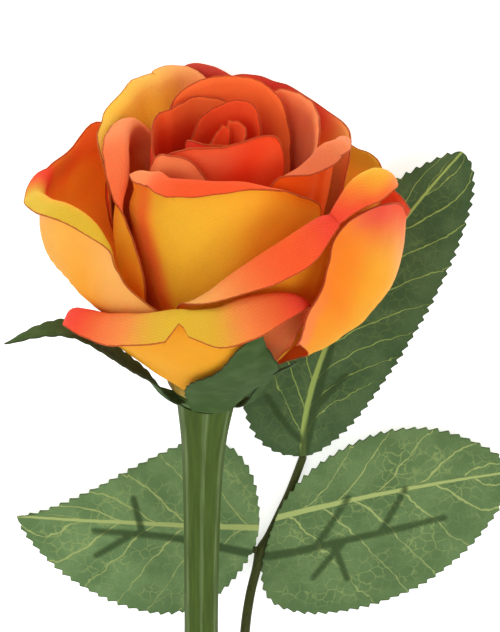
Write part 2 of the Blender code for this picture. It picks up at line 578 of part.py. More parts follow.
def fuse(name, solids, collection, cutters):
    """One closed body from several solids, joined by a single Boolean union."""
    base = make_object(name, *solids[0], collection)
    group = bpy.data.collections.new(name + "_parts")
    cutters.children.link(group)
    for k, (points, faces) in enumerate(solids[1:]):
        piece = make_object(f"{name}_piece_{k}", points, faces, group)
        piece.hide_render = True
        piece.display_type = "WIRE"
    union = base.modifiers.new("union", "BOOLEAN")
    union.operation = "UNION"
    union.operand_type = "COLLECTION"
    union.collection = group
    union.solver = "MANIFOLD"
    bpy.context.view_layer.objects.active = base
    base.select_set(True)
    bpy.ops.object.modifier_apply(modifier=union.name)
    for piece in list(group.objects):
        bpy.data.objects.remove(piece, do_unlink=True)
    bpy.data.collections.remove(group)
    return base


def petal_solid(petal):
    """Closed solid of one petal, lying on the floor, in metres."""
    grid = petal_grid(petal)
    shape = grid.shape
    flat = lay_down(lean(grid.reshape(-1, 3)))
    flat = rest_on_floor(flat, PETAL_THICK)
    points, faces = thick_sheet(flat.reshape(shape), PETAL_THICK, pole=True)
    points[:, 2] = np.maximum(points[:, 2], 0.0)
    return placed(points), faces


def whorl(name, petals, hub, bore, collection, cutters):
    """A whorl: its hub with the petals grown out of it."""
    if bore:
        points, faces = ring(hub, bore)
    else:
        points, faces = lathe(((hub[0], hub[1]), (hub[0], hub[2])), HUB_SIDES)
    solids = [(placed(lay_down(lean(points))), faces)]
    solids += [petal_solid(p) for p in petals]
    return fuse(name, solids, collection, cutters)


def outside_petals(radius, azimuth, height):
    """Radius of a sepal, kept clear of the outer petals."""
    for petal in OUTER:
        rim = np.array(petal.rim, float)
        low, high = rim[:, 0].min(), rim[:, 0].max()
        off = np.abs((azimuth - (low + high) / 2 + 180.0) % 360.0 - 180.0) - (high - low) / 2
        wall = petal_radius(petal, azimuth, height) + 1.7 - 12.0 * smooth((off - 3.0) / 12.0)
        wall = np.where(height < 1.0, radius, wall)
        radius = np.maximum(radius, wall)
    return radius


def sepal_solid(sepal):
    """Closed solid of one sepal round the foot of the bloom, in metres."""
    line = through(sepal.run, 8)
    across = np.linspace(-1, 1, 4)
    grid = np.zeros((len(across), len(line), 3))
    for i, u in enumerate(across):
        azimuth = line[:, 0] + np.degrees(line[:, 3] * u / np.maximum(line[:, 1], 5.0))
        radius = outside_petals(line[:, 1], azimuth, line[:, 2])
        angle = np.radians(azimuth)
        grid[i] = np.stack([radius * np.sin(angle), -radius * np.cos(angle), line[:, 2]], 1)
    flat = rest_on_floor(lay_down(lean(grid.reshape(-1, 3))), SEPAL_THICK)
    points, faces = thick_sheet(flat.reshape(grid.shape), SEPAL_THICK)
    points[:, 2] = np.maximum(points[:, 2], 0.0)
    return placed(points), faces


def build_calyx(collection, cutters):
    """The calyx: a ring round the peg with five sepals."""
    points, faces = ring(CALYX_HUB, BORE_RADIUS)
    solids = [(placed(lay_down(lean(points))), faces)] + [sepal_solid(s) for s in SEPALS]
    return fuse("calyx", solids, collection, cutters)


def stem_ridge(radius, height, angle):
    """Radius of the stem with its lengthwise ridges, smooth on the peg and collar."""
    depth = 0.055 * radius if height < -4.0 else 0.0
    return radius + depth * (abs(math.cos(angle * STEM_RIDGES / 2)) - 0.6)


def build_stem(collection):
    """The stem with its flare, the collar at the leaf, and the peg through the whorls."""
    profile = ((3.4, STEM_END), (3.75, STEM_END + 1), (3.7, -160), (3.75, -115), (3.8, -104),
               (4.7, -98), (4.9, -94), (4.2, -89), (3.5, -78), (3.55, -40), (4.1, -20), (4.6, -12),
               (5.6, -5), (5.9, -3.2), (PEG_RADIUS, -3.2), (PEG_RADIUS, 7.2))
    points, faces = lathe(profile, STEM_SIDES, stem_ridge)
    flat = lay_down(lean(points))
    flat[:, 2] = np.maximum(flat[:, 2], 0.0)
    return make_object("stem", placed(flat), faces, collection)


def side_outline(share, at_base, at_tip):
    """Outline of one side of a leaflet, 1 where it is widest."""
    peak = at_base / (at_base + at_tip)
    return (share / peak) ** at_base * ((1 - share) / (1 - peak)) ** at_tip


def leaf_point(leaf, share, side):
    """Point of a leaflet: share of its length, side from -1 (left margin) to 1 (right)."""
    share, side = np.broadcast_arrays(np.asarray(share, float), np.asarray(side, float))
    base, middle, tip = (np.array(p, float) for p in (leaf.base, leaf.middle, leaf.tip))
    s = share[..., None]
    control = 2 * middle - (base + tip) / 2
    spine = (1 - s) ** 2 * base + 2 * s * (1 - s) * control + s ** 2 * tip
    ahead = 2 * (1 - s) * (control - base) + 2 * s * (tip - control)
    flat = unit(ahead[..., :2])
    inside = np.clip(share, 0.0, 1.0)
    outline = np.where(side < 0, side_outline(inside, *leaf.shape[0]),
                       side_outline(inside, *leaf.shape[1]))
    half = np.where(side < 0, leaf.half[0], leaf.half[1]) * np.maximum(outline, 0.02)
    swept = np.where(side < 0, leaf.back[0], leaf.back[1]) * np.abs(side) * half * (1 - inside) ** 5
    out = np.zeros_like(spine)
    out[..., 0] = flat[..., 1] * half * side - flat[..., 0] * swept
    out[..., 1] = -flat[..., 0] * half * side - flat[..., 1] * swept
    out[..., 2] = (leaf.keel * half * np.abs(side) + leaf.roll * side * outline
                   + leaf.wave * np.sin(share * 9.0 + side * 1.3) * np.abs(side) * outline)
    return spine + out


def leaf_solid(leaf):
    """Closed solid of a leaflet with a toothed margin, in metres."""
    rows = 2 * leaf.teeth + 1
    share = np.linspace(0.0, 1.0, rows)
    tooth = np.where(np.arange(rows) % 2, 1.03, 0.96)
    side = np.array([-1.0, -0.5, 0.0, 0.5, 1.0])
    grid = np.zeros((len(side), rows, 3))
    for i, u in enumerate(side):
        grid[i] = leaf_point(leaf, share, u * (tooth if abs(u) == 1.0 else 1.0))
    points, faces = thick_sheet(rest_on_floor(grid, LEAF_THICK), LEAF_THICK)
    points[:, 2] = np.maximum(points[:, 2], 0.0)
    return placed(points), faces


def rib_run(leaf, run, radius):
    """Run of a moulded rib, held under its leaflet by a small gap."""
    share, side = (np.array(v, float) for v in zip(*run))
    centre = leaf_point(leaf, share, side)
    ahead = leaf_point(leaf, share + 0.01, side) - leaf_point(leaf, share - 0.01, side)
    beside = leaf_point(leaf, share, side + 0.02) - leaf_point(leaf, share, side - 0.02)
    normal = unit(np.cross(ahead, beside))
    normal *= np.where(normal[:, 2:] < 0, -1, 1)
    line = centre - normal * (LEAF_THICK / 2 + GAP + radius + 0.15)
    line[:, 2] = np.maximum(line[:, 2], radius)
    return line


def build_stalk(collection, cutters):
    """The leaf stalk with the ribs that carry the three leaflets."""
    leaves = {leaf.name: leaf for leaf in LEAFLETS}
    solids = []
    for run, start, end in STALK:
        points, faces = tube(run, start, end, sides=8, rings=10)
        solids.append((placed(points), faces))
    for name, run, start, end, junction in RIBS:
        line = rib_run(leaves[name], run, start)
        if junction:
            line = np.vstack([junction, line])
        points, faces = tube(line, start, end, rings=3 if len(line) < 3 else 6)
        solids.append((placed(points), faces))
    return fuse("leaf_stalk", solids, collection, cutters)


def clear_scene():
    """Start from an empty scene."""
    for thing in list(bpy.data.objects):
        bpy.data.objects.remove(thing, do_unlink=True)


def main():
    """Build the rose."""
    clear_scene()
    collection = bpy.data.collections.new(NAME)
    cutters = bpy.data.collections.new("cutters")
    bpy.context.scene.collection.children.link(collection)
    bpy.context.scene.collection.children.link(cutters)
    root = bpy.data.objects.new(NAME, None)
    collection.objects.link(root)
    made = [
        build_stem(collection),
        build_calyx(collection, cutters),
        whorl("outer_petals", OUTER, OUTER_HUB, BORE_RADIUS, collection, cutters),
        whorl("middle_petals", MIDDLE, MIDDLE_HUB, BORE_RADIUS, collection, cutters),
        whorl("inner_petals", INNER, INNER_HUB, BORE_RADIUS, collection, cutters),
        whorl("heart_petals", HEART, HEART_HUB, 0.0, collection, cutters),
        build_stalk(collection, cutters),
    ]
    for leaf in LEAFLETS:
        points, faces = leaf_solid(leaf)
        made.append(make_object(leaf.name, points, faces, collection))
    for thing in made:
        finish(thing, root)
    bpy.data.collections.remove(cutters)


main()
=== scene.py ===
"""Looks of an artificial rose lying on its side: dyed cloth petals, sepals, ridged stem and printed leaf.

The flower's own frame is upright, in millimetres, with the foot of the bloom at its origin, azimuth 0
towards the viewer's side and +90 to the right. LyingPose carries it to the row frame, in metres.
"""

import logging
import math
from dataclasses import dataclass
from enum import Enum
from typing import Iterable, Sequence

import bpy
import numpy as np
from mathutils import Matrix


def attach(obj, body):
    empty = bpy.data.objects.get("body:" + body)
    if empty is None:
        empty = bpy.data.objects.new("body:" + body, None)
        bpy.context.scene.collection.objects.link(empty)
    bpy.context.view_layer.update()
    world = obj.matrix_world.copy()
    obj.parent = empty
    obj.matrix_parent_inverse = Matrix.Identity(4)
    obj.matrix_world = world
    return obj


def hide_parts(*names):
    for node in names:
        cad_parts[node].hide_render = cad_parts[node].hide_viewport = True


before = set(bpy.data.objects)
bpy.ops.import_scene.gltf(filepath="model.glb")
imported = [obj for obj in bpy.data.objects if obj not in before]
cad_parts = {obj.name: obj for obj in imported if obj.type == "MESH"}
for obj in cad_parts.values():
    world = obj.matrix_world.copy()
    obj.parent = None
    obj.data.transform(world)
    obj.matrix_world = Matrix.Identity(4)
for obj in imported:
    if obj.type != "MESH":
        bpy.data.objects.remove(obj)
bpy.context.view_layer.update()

MM = 0.001
Colour = tuple[float, float, float]
log = logging.getLogger("rose")

CURVE_STEPS = 24  # steps of a smooth curve between two of its points
RIPPLES, RIPPLE_PEAK = 5, 3.2  # waves added up in a ripple, and what brings their sum near 1
CLOTH_GLOSS, DULL_GLOSS = 0.12, 0.1  # specular levels: of cloth, and of plastic, thread and paper
SHARP_ANGLE = math.radians(62)  # faces that meet at a wider angle keep a sharp edge
BORE, HUB_SIDES = 1.6, 48  # radius of the bore in hubs and cup, mm, and the sides of their outline


def smooth(x: np.ndarray | float) -> np.ndarray:
    """Ease a value from 0 to 1."""
    x = np.clip(x, 0.0, 1.0)
    return x * x * (3 - 2 * x)


def unit(vectors: np.ndarray) -> np.ndarray:
    """Scale vectors to length 1."""
    return vectors / np.maximum(np.linalg.norm(vectors, axis=-1, keepdims=True), 1e-9)


def softened(over: np.ndarray, soft: float) -> np.ndarray:
    """Keep what is over 0 and drop what is under it, with a soft bend between."""
    return np.where(over > soft, over, np.where(over < -soft, 0.0, (over + soft) ** 2 / (4 * soft)))


def run_along(points: np.ndarray) -> np.ndarray:
    """Distance from the first point of a run to each of its points, measured along it."""
    return np.concatenate([[0], np.cumsum(np.linalg.norm(np.diff(points, axis=0), axis=1))])


def round_axis(radius: np.ndarray | float, angle: np.ndarray, height: np.ndarray | float) -> np.ndarray:
    """Points round the flower's axis, from radii, angles in radians and heights."""
    return np.stack([radius * np.sin(angle), -radius * np.cos(angle), height + 0 * angle], -1)


def ring_faces(rings: int, sides: int) -> list[tuple[int, ...]]:
    """Close rings of points, with an end point before and after them, into a solid.

    Args:
        rings: Number of rings.
        sides: Points in each ring.

    Returns:
        The faces, as numbers of points: the first end, the rings in turn, the last end.
    """
    last, top = 1 + rings * sides, 1 + (rings - 1) * sides
    faces: list[tuple[int, ...]] = []
    for k in range(sides):
        n = (k + 1) % sides
        faces += [(0, 1 + n, 1 + k), (last, top + k, top + n)]
        faces += [(a + k, a + n, a + sides + n, a + sides + k) for a in range(1, top, sides)]
    return faces


def through(points: Sequence, count: int | None = None, weights: Sequence | None = None) -> np.ndarray:
    """Run a smooth curve through points.

    Args:
        points: Points of any dimension.
        count: Number of evenly spaced points wanted, or None for the curve's own steps.
        weights: Scale of each dimension when spacing is measured.

    Returns:
        The curve's points, one a row.
    """
    p = np.array(points, float)
    a = np.vstack([2 * p[0] - p[1], p, 2 * p[-1] - p[-2]])
    u = np.linspace(0, 1, CURVE_STEPS + 1)[:-1, None]
    parts = []
    for i in range(1, len(a) - 2):
        before, start, end, after = a[i - 1], a[i], a[i + 1], a[i + 2]
        parts.append(0.5 * (2 * start + (end - before) * u
                            + (2 * before - 5 * start + 4 * end - after) * u ** 2
                            + (3 * start - before - 3 * end + after) * u ** 3))
    curve = np.vstack(parts + [p[-1:]])
    if count is None:
        return curve
    scaled = curve if weights is None else curve * np.array(weights)
    run = run_along(scaled)
    at = np.linspace(0, run[-1], count)
    return np.stack([np.interp(at, run, curve[:, k]) for k in range(curve.shape[1])], 1)


def ripple(x: np.ndarray, y: np.ndarray, wavelength: float, seed: int) -> np.ndarray:
    """Give gentle unevenness over a surface.

    Args:
        x: First coordinate of each point, mm.
        y: Second coordinate of each point, mm.
        wavelength: Usual distance from crest to crest, mm.
        seed: Picks the pattern.

    Returns:
        A height from about -1 to 1 at each point.
    """
    rng = np.random.default_rng(seed)
    total = np.zeros(np.broadcast(x, y).shape)
    for _ in range(RIPPLES):
        turn, phase, scale = rng.uniform(0, 2 * math.pi), rng.uniform(0, 2 * math.pi), rng.uniform(0.7, 1.5)
        across = x * math.cos(turn) + y * math.sin(turn)
        total += np.sin(across * 2 * math.pi / (wavelength * scale) + phase)
    return total / RIPPLE_PEAK


@dataclass(frozen=True)
class LyingPose:
    """How the upright rose lies: the stem's rise, the bloom's lean and its place over the floor.

    bend is how far down the stem the lean eases out, and soft how gently a sheet meets the floor, mm.
    """

    rise: float = 6.9
    foot_height: float = 27.4
    lean: float = 4.0
    bend: float = 18.0
    soft: float = 0.3
    centre: tuple[float, float] = (12.08, -68.2)

    def leaned(self, points: np.ndarray) -> np.ndarray:
        """Lean the bloom to the right, easing out down the stem.

        Args:
            points: Points in the upright frame, mm.

        Returns:
            The leaned points, mm.
        """
        x, y, z = points[:, 0], points[:, 1], points[:, 2]
        top = math.radians(self.lean)
        below = np.minimum(z, 0.0) / self.bend
        angle = top * np.exp(below)
        centre_x = np.maximum(z, 0.0) * math.sin(top) - top * self.bend * (1 - np.exp(below))
        centre_z = np.where(z > 0, z * math.cos(top), z)
        return np.stack([centre_x + x * np.cos(angle), y, centre_z - x * np.sin(angle)], 1)

    def laid(self, points: np.ndarray) -> np.ndarray:
        """Turn the upright frame to the lying one.

        Args:
            points: Points in the upright frame, mm.

        Returns:
            The points as they lie, in mm above the floor.
        """
        a = math.radians(self.rise)
        x, y, z = points[:, 0], points[:, 1], points[:, 2]
        return np.stack([x, y * math.sin(a) + z * math.cos(a),
                         self.foot_height - y * math.cos(a) + z * math.sin(a)], 1)

    def pressed(self, points: np.ndarray, thickness: float) -> np.ndarray:
        """Flatten a middle surface where it would pass through the floor.

        Args:
            points: Points as they lie, mm.
            thickness: Thickness of the sheet, mm.

        Returns:
            The points, none of them lower than half the thickness.
        """
        low = thickness / 2
        out = points.copy()
        out[..., 2] = low + softened(points[..., 2] - low, self.soft)
        return out

    def placed(self, points: np.ndarray) -> np.ndarray:
        """Turn lying mm into metres in the row frame."""
        return (points - np.array([self.centre[0], self.centre[1], 0.0])) * MM

    def sheet(self, grid: np.ndarray, thickness: float) -> np.ndarray:
        """Lay a grid of middle points down on the floor, in metres."""
        flat = self.laid(self.leaned(grid.reshape(-1, 3)))
        return self.placed(self.pressed(flat, thickness)).reshape(grid.shape)

    def solid(self, points: np.ndarray) -> np.ndarray:
        """Lay a solid's points down, none of them under the floor.

        Args:
            points: Points in the upright frame, mm.

        Returns:
            The points in the row frame, in metres.
        """
        flat = self.laid(self.leaned(points))
        flat[:, 2] = np.maximum(flat[:, 2], 0.0)
        return self.placed(flat)


POSE = LyingPose()


class Graph:
    """Short calls for building a material's nodes."""

    def __init__(self, label: str) -> None:
        """Start a material with its Principled shader.

        Args:
            label: Name of the material.
        """
        self.material = bpy.data.materials.new(label)
        self.material.use_nodes = True
        self.tree = self.material.node_tree
        self.shader = self.tree.nodes["Principled BSDF"]

    def node(self, kind: str, **values: object) -> bpy.types.Node:
        """Add a node.

        Args:
            kind: Type of the node.
            **values: Its properties.

        Returns:
            The node.
        """
        made = self.tree.nodes.new(kind)
        for name, value in values.items():
            setattr(made, name, value)
        return made

    def put(self, socket: bpy.types.NodeSocket, value: object) -> None:
        """Feed a socket.

        Args:
            socket: The input to feed.
            value: Another node's output, or a plain value or colour.
        """
        if isinstance(value, bpy.types.NodeSocket):
            self.tree.links.new(value, socket)
        elif isinstance(value, tuple) and len(value) == 3 and socket.type == "RGBA":
            socket.default_value = (*value, 1.0)
        else:
            socket.default_value = value

    def math(self, operation: str, a: object, b: object = 0.0, c: object = 0.0,
             clamp: bool = False) -> bpy.types.NodeSocket:
        """Work out a number.

        Args:
            operation: The Math node's operation.
            a: First number.
            b: Second number.
            c: Third number.
            clamp: True to keep the result from 0 to 1.

        Returns:
            The result.
        """
        made = self.node("ShaderNodeMath", operation=operation, use_clamp=clamp)
        for socket, value in zip(made.inputs, (a, b, c)):
            self.put(socket, value)
        return made.outputs[0]

    def mix(self, factor: object, a: object, b: object, blend: str = "MIX") -> bpy.types.NodeSocket:
        """Blend two colours.

        Args:
            factor: Share of the second colour.
            a: First colour.
            b: Second colour.
            blend: How they are blended.

        Returns:
            The blended colour.
        """
        made = self.node("ShaderNodeMix", data_type="RGBA", blend_type=blend)
        self.put(made.inputs["Factor"], factor)
        self.put(made.inputs[6], a)
        self.put(made.inputs[7], b)
        return made.outputs[2]

    def toned(self, colour: object, value: bpy.types.NodeSocket) -> bpy.types.NodeSocket:
        """Lighten or darken a colour.

        Args:
            colour: The colour.
            value: A number round 1.

        Returns:
            The colour times the number.
        """
        tint = self.node("ShaderNodeCombineColor")
        for socket in tint.inputs:
            self.put(socket, value)
        return self.mix(1.0, colour, tint.outputs[0], "MULTIPLY")

    def ramp(self, value: object, low: float, high: float, to_low: float = 0.0,
             to_high: float = 1.0) -> bpy.types.NodeSocket:
        """Map a number smoothly from one range to another.

        Args:
            value: The number.
            low: Start of its range.
            high: End of its range.
            to_low: Start of the range it is mapped to.
            to_high: End of the range it is mapped to.

        Returns:
            The mapped number.
        """
        made = self.node("ShaderNodeMapRange", interpolation_type="SMOOTHSTEP")
        for socket, number in zip(made.inputs, (value, low, high, to_low, to_high)):
            self.put(socket, number)
        return made.outputs[0]

    def read(self, name: str, output: str) -> bpy.types.NodeSocket:
        """Read a mesh attribute."""
        return self.node("ShaderNodeAttribute", attribute_name=name).outputs[output]

    def noise(self, place: object, scale: float, detail: float = 2.0,
              output: str = "Fac") -> bpy.types.NodeSocket:
        """Give noise from 0 to 1.

        Args:
            place: Place on the piece.
            scale: Waves in each unit of place.
            detail: Number of finer layers.
            output: "Fac" for one number, "Color" for three.

        Returns:
            The noise.
        """
        made = self.node("ShaderNodeTexNoise")
        self.put(made.inputs["Vector"], place)
        made.inputs["Scale"].default_value = scale
        made.inputs["Detail"].default_value = detail
        return made.outputs[output]

    def swing(self, noise: bpy.types.NodeSocket, reach: float) -> bpy.types.NodeSocket:
        """Make noise from 0 to 1 swing to both sides of 0, by half the reach to each."""
        return self.math("MULTIPLY_ADD", noise, reach, -reach / 2)

    def bump(self, height: object, depth: float, under: object = None) -> bpy.types.NodeSocket:
        """Turn a height into a normal.

        Args:
            height: Height from 0 to 1.
            depth: What a height of 1 stands for, mm.
            under: Normal of a broader shape that it lies on.

        Returns:
            The normal.
        """
        made = self.node("ShaderNodeBump")
        made.inputs["Distance"].default_value = depth * MM
        made.inputs["Strength"].default_value = 1.0
        self.put(made.inputs["Height"], height)
        if under is not None:
            self.put(made.inputs["Normal"], under)
        return made.outputs["Normal"]

    def finish(self, colour: object, roughness: object, specular: float,
               normal: bpy.types.NodeSocket | None = None) -> bpy.types.Material:
        """Feed the shader.

        Args:
            colour: Base colour.
            roughness: Roughness.
            specular: Specular level, the same all over.
            normal: Normal, or None for the mesh's own.

        Returns:
            The finished material.
        """
        self.put(self.shader.inputs["Base Color"], colour)
        self.put(self.shader.inputs["Roughness"], roughness)
        self.shader.inputs["Specular IOR Level"].default_value = specular
        if normal is not None:
            self.put(self.shader.inputs["Normal"], normal)
        return self.material


@dataclass(frozen=True)
class Weave:
    """A plain weave: the distance between threads, and how deep they and the crumples stand, in mm."""

    thread: float
    depth: float
    crumple: float

    def height(self, graph: Graph, cloth: bpy.types.NodeSocket) -> bpy.types.NodeSocket:
        """Work out how high the threads stand.

        Args:
            graph: The material being built.
            cloth: Place on the flat cloth, mm.

        Returns:
            Height from 0 to 1.
        """
        split = graph.node("ShaderNodeSeparateXYZ")
        graph.put(split.inputs[0], cloth)
        wobble = graph.noise(cloth, 0.9, 1.0)
        turn = math.pi / self.thread
        across = graph.math("MULTIPLY_ADD", split.outputs[0], turn, graph.math("MULTIPLY", wobble, 1.6))
        along = graph.math("MULTIPLY_ADD", split.outputs[1], turn, graph.math("MULTIPLY", wobble, 2.1))
        woven = graph.math("MULTIPLY", graph.math("SINE", across), graph.math("SINE", along))
        fuzz = graph.noise(cloth, 5.5, 2.0)
        return graph.math("ADD", graph.math("MULTIPLY_ADD", woven, 0.32, 0.24),
                          graph.math("MULTIPLY", fuzz, 0.5))


@dataclass(frozen=True)
class PetalCloth:
    """Dyed petal cloth: colour from the dye with painted shade in places, a fine weave, light that soaks in
    and a brown singed edge.
    """

    label: str
    weave: Weave = Weave(0.34, 0.03, 0.12)
    roughness: float = 0.78
    singe: Colour = (0.32, 0.045, 0.012)
    singe_width: float = 0.16
    mottle: float = 0.07
    glow: float = 0.35

    def material(self) -> bpy.types.Material:
        """Build the material.

        Returns:
            The finish of every petal of a whorl.
        """
        g = Graph(self.label)
        cloth = g.read("cloth", "Vector")
        # the dye attribute holds the dye and, in some washes, painted shade
        dye_and_shade = g.read("dye_and_shade", "Color")
        edge = g.read("edge", "Fac")
        threads = self.weave.height(g, cloth)
        blotch = g.noise(cloth, 0.16, 3.0)
        grain = g.noise(cloth, 2.6)
        value = g.math("ADD", g.ramp(threads, 0.1, 0.9, 1 - self.mottle, 1 + self.mottle * 0.55),
                       g.swing(grain, 0.22))
        colour = g.toned(dye_and_shade, g.math("ADD", value, g.swing(blotch, 0.12)))
        wander = g.math("MULTIPLY", g.noise(cloth, 0.8), self.singe_width * 1.7)
        burnt = g.ramp(g.math("SUBTRACT", edge, wander), 0.0, self.singe_width, 0.85, 0.0)
        g.shader.inputs["Subsurface Weight"].default_value = self.glow
        g.shader.inputs["Subsurface Radius"].default_value = (1.0, 0.3, 0.06)
        g.shader.inputs["Subsurface Scale"].default_value = 1.5 * MM
        folds = g.bump(g.noise(cloth, 0.22), self.weave.crumple)
        rough = g.ramp(threads, 0.0, 1.0, self.roughness + 0.1, self.roughness - 0.08)
        return g.finish(g.mix(burnt, colour, self.singe), rough, CLOTH_GLOSS,
                        g.bump(threads, self.weave.depth, folds))


@dataclass(frozen=True)
class LeafCloth:
    """Green leaf cloth with veins printed on it, a painted shadow of the ribs under it and a fine weave.

    net is the number of net veins in a mm, and netted how strong they are at most.
    """

    label: str
    green: Colour = (0.115, 0.20, 0.075)
    pale: Colour = (0.16, 0.26, 0.10)
    vein: Colour = (0.36, 0.44, 0.15)
    rib_shadow: Colour = (0.035, 0.065, 0.02)
    cut: Colour = (0.05, 0.07, 0.03)
    net: float = 0.42
    netted: float = 0.4
    weave: Weave = Weave(0.28, 0.05, 0.1)

    def material(self) -> bpy.types.Material:
        """Build the material.

        Returns:
            The finish of one leaflet.
        """
        g = Graph(self.label)
        cloth = g.read("cloth", "Vector")
        threads = self.weave.height(g, cloth)
        patch = g.ramp(g.noise(cloth, 0.12, 3.0), 0.35, 0.65)
        colour = g.mix(patch, self.green, self.pale)
        grain = g.math("ADD", g.ramp(threads, 0.1, 0.9, 0.88, 1.08), g.swing(g.noise(cloth, 1.6, 3.0), 0.3))
        colour = g.toned(colour, grain)
        veins = self.veins(g, cloth)
        colour = g.mix(veins, colour, self.vein)
        # painted shadow of the moulded ribs under the leaflet, darkest right over them
        rib = g.ramp(g.read("rib", "Fac"), -0.2, 0.75, 0.85, 0.0)
        colour = g.mix(rib, colour, self.rib_shadow)
        edge = g.ramp(g.read("edge", "Fac"), 0.05, 0.3, 0.7, 0.0)
        pressed = g.bump(veins, 0.12, g.bump(g.noise(cloth, 0.2), self.weave.crumple))
        return g.finish(g.mix(edge, colour, self.cut), g.ramp(threads, 0.0, 1.0, 0.85, 0.68), CLOTH_GLOSS,
                        g.bump(threads, self.weave.depth, pressed))

    def veins(self, g: Graph, cloth: bpy.types.NodeSocket) -> bpy.types.NodeSocket:
        """Work out the printed veins: midrib, side veins and the net between them.

        Args:
            g: The material being built.
            cloth: Place on the flat cloth, mm.

        Returns:
            Strength of the print, from 0 to 1.
        """
        jitter = g.math("MULTIPLY", g.swing(g.noise(cloth, 0.45), 0.5), 0.5)
        middle = g.math("SUBTRACT", g.math("ABSOLUTE", g.math("ADD", g.read("midrib", "Fac"), jitter)),
                        g.read("midrib_width", "Fac"))
        phase = g.math("ADD", g.read("vein_phase", "Fac"), g.swing(g.noise(cloth, 0.3), 0.3))
        off = g.math("ABSOLUTE", g.math("SUBTRACT", phase, g.math("ROUND", phase)))
        side = g.math("SUBTRACT", g.math("MULTIPLY", off, g.read("vein_gap", "Fac")),
                      g.read("vein_width", "Fac"))
        main = g.math("MAXIMUM", g.ramp(middle, -0.05, 0.22, 1.0, 0.0), g.ramp(side, -0.05, 0.2, 0.85, 0.0))
        bent = g.node("ShaderNodeVectorMath", operation="MULTIPLY_ADD")
        g.put(bent.inputs[0], g.noise(cloth, 0.35, output="Color"))
        bent.inputs[1].default_value = (2.6, 2.6, 2.6)
        g.put(bent.inputs[2], cloth)
        cell = g.node("ShaderNodeTexVoronoi", feature="DISTANCE_TO_EDGE")
        g.put(cell.inputs["Vector"], bent.outputs[0])
        cell.inputs["Scale"].default_value = self.net
        thin = g.ramp(cell.outputs["Distance"], 0.0, 0.085, 1.0, 0.0)
        faded = g.math("MULTIPLY", thin, g.ramp(g.noise(cloth, 0.14), 0.38, 0.62, 0.06, self.netted))
        faded = g.math("MULTIPLY", faded, g.read("net", "Fac"))
        return g.math("MAXIMUM", main, faded, clamp=True)


@dataclass(frozen=True)
class SepalCloth:
    """Dark green sepal cloth with paler patches and a darker cut edge."""

    label: str
    green: Colour = (0.044, 0.090, 0.020)
    pale: Colour = (0.066, 0.118, 0.032)
    cut: Colour = (0.03, 0.045, 0.02)
    weave: Weave = Weave(0.28, 0.05, 0.14)

    def material(self) -> bpy.types.Material:
        """Build the material.

        Returns:
            The finish of the sepals.
        """
        g = Graph(self.label)
        cloth = g.read("cloth", "Vector")
        threads = self.weave.height(g, cloth)
        colour = g.mix(g.ramp(g.noise(cloth, 0.25, 3.0), 0.4, 0.7), self.green, self.pale)
        grain = g.math("ADD", g.ramp(threads, 0.1, 0.9, 0.85, 1.1), g.swing(g.noise(cloth, 1.8, 3.0), 0.3))
        colour = g.toned(colour, grain)
        edge = g.ramp(g.read("edge", "Fac"), 0.02, 0.22, 0.75, 0.0)
        folds = g.bump(g.noise(cloth, 0.3), self.weave.crumple)
        return g.finish(g.mix(edge, colour, self.cut), g.ramp(threads, 0.0, 1.0, 0.82, 0.66), CLOTH_GLOSS,
                        g.bump(threads, self.weave.depth, folds))


@dataclass(frozen=True)
class MouldedPlastic:
    """Moulded plastic with streaks along it and a painted highlight along its ridges."""

    label: str
    colour: Colour
    ridge_highlight_colour: Colour
    roughness: float = 0.4

    def material(self) -> bpy.types.Material:
        """Build the material.

        Returns:
            The finish of a moulded piece.
        """
        g = Graph(self.label)
        along = g.read("along", "Vector")
        stretch = g.node("ShaderNodeMapping")
        stretch.inputs["Scale"].default_value = (1.0, 0.07, 1.0)
        g.put(stretch.inputs["Vector"], along)
        streak = g.noise(stretch.outputs[0], 1.3, 3.0)
        speck = g.noise(along, 2.5)
        # painted highlight along the ridges, uneven along the streaks
        ridge_highlight = g.math("MULTIPLY", g.read("ridge_highlight", "Fac"), g.ramp(streak, 0.25, 0.6, 0.4, 1.0))
        colour = g.mix(ridge_highlight, self.colour, self.ridge_highlight_colour)
        value = g.math("ADD", g.ramp(streak, 0.3, 0.7, 0.86, 1.12), g.swing(speck, 0.12))
        rough = g.ramp(streak, 0.2, 0.8, self.roughness + 0.08, self.roughness - 0.06)
        grooves = g.bump(g.math("ADD", streak, g.math("MULTIPLY", speck, 0.2)), 0.09)
        return g.finish(g.toned(colour, value), rough, DULL_GLOSS, grooves)


def note_numbers(mesh: bpy.types.Mesh, numbers: dict[str, np.ndarray]) -> None:
    """Keep what a finish reads as attributes of a mesh's points.

    Args:
        mesh: The mesh.
        numbers: For each attribute, its value at each point.
    """
    for name, values in numbers.items():
        kind = {1: "FLOAT", 3: "FLOAT_VECTOR"}[1 if values.ndim == 1 else values.shape[1]]
        if name == "dye_and_shade":
            kind, values = "FLOAT_COLOR", np.column_stack([values, np.ones(len(values))])
        layer = mesh.attributes.new(name, kind, "POINT")
        key = {"FLOAT": "value", "FLOAT_VECTOR": "vector", "FLOAT_COLOR": "color"}[kind]
        layer.data.foreach_set(key, values.astype(np.float32).ravel())


def dressed(mesh: bpy.types.Mesh, name: str, node: str, slot: str) -> bpy.types.Object:
    """Make a finished mesh into a piece, hang it under the root body and hide the CAD node that it replaces.

    Args:
        mesh: The mesh, in metres in the row frame.
        name: Name of the piece.
        node: CAD node that the piece replaces.
        slot: Material slot in the record; not used.

    Returns:
        The finished piece.
    """
    mesh.polygons.foreach_set("use_smooth", [True] * len(mesh.polygons))
    mesh.set_sharp_from_angle(angle=SHARP_ANGLE)
    piece = bpy.data.objects.new(name, mesh)
    bpy.context.scene.collection.objects.link(piece)
    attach(piece, "root")
    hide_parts(node)
    log.info("%s: %d faces", name, len(mesh.polygons))
    return piece


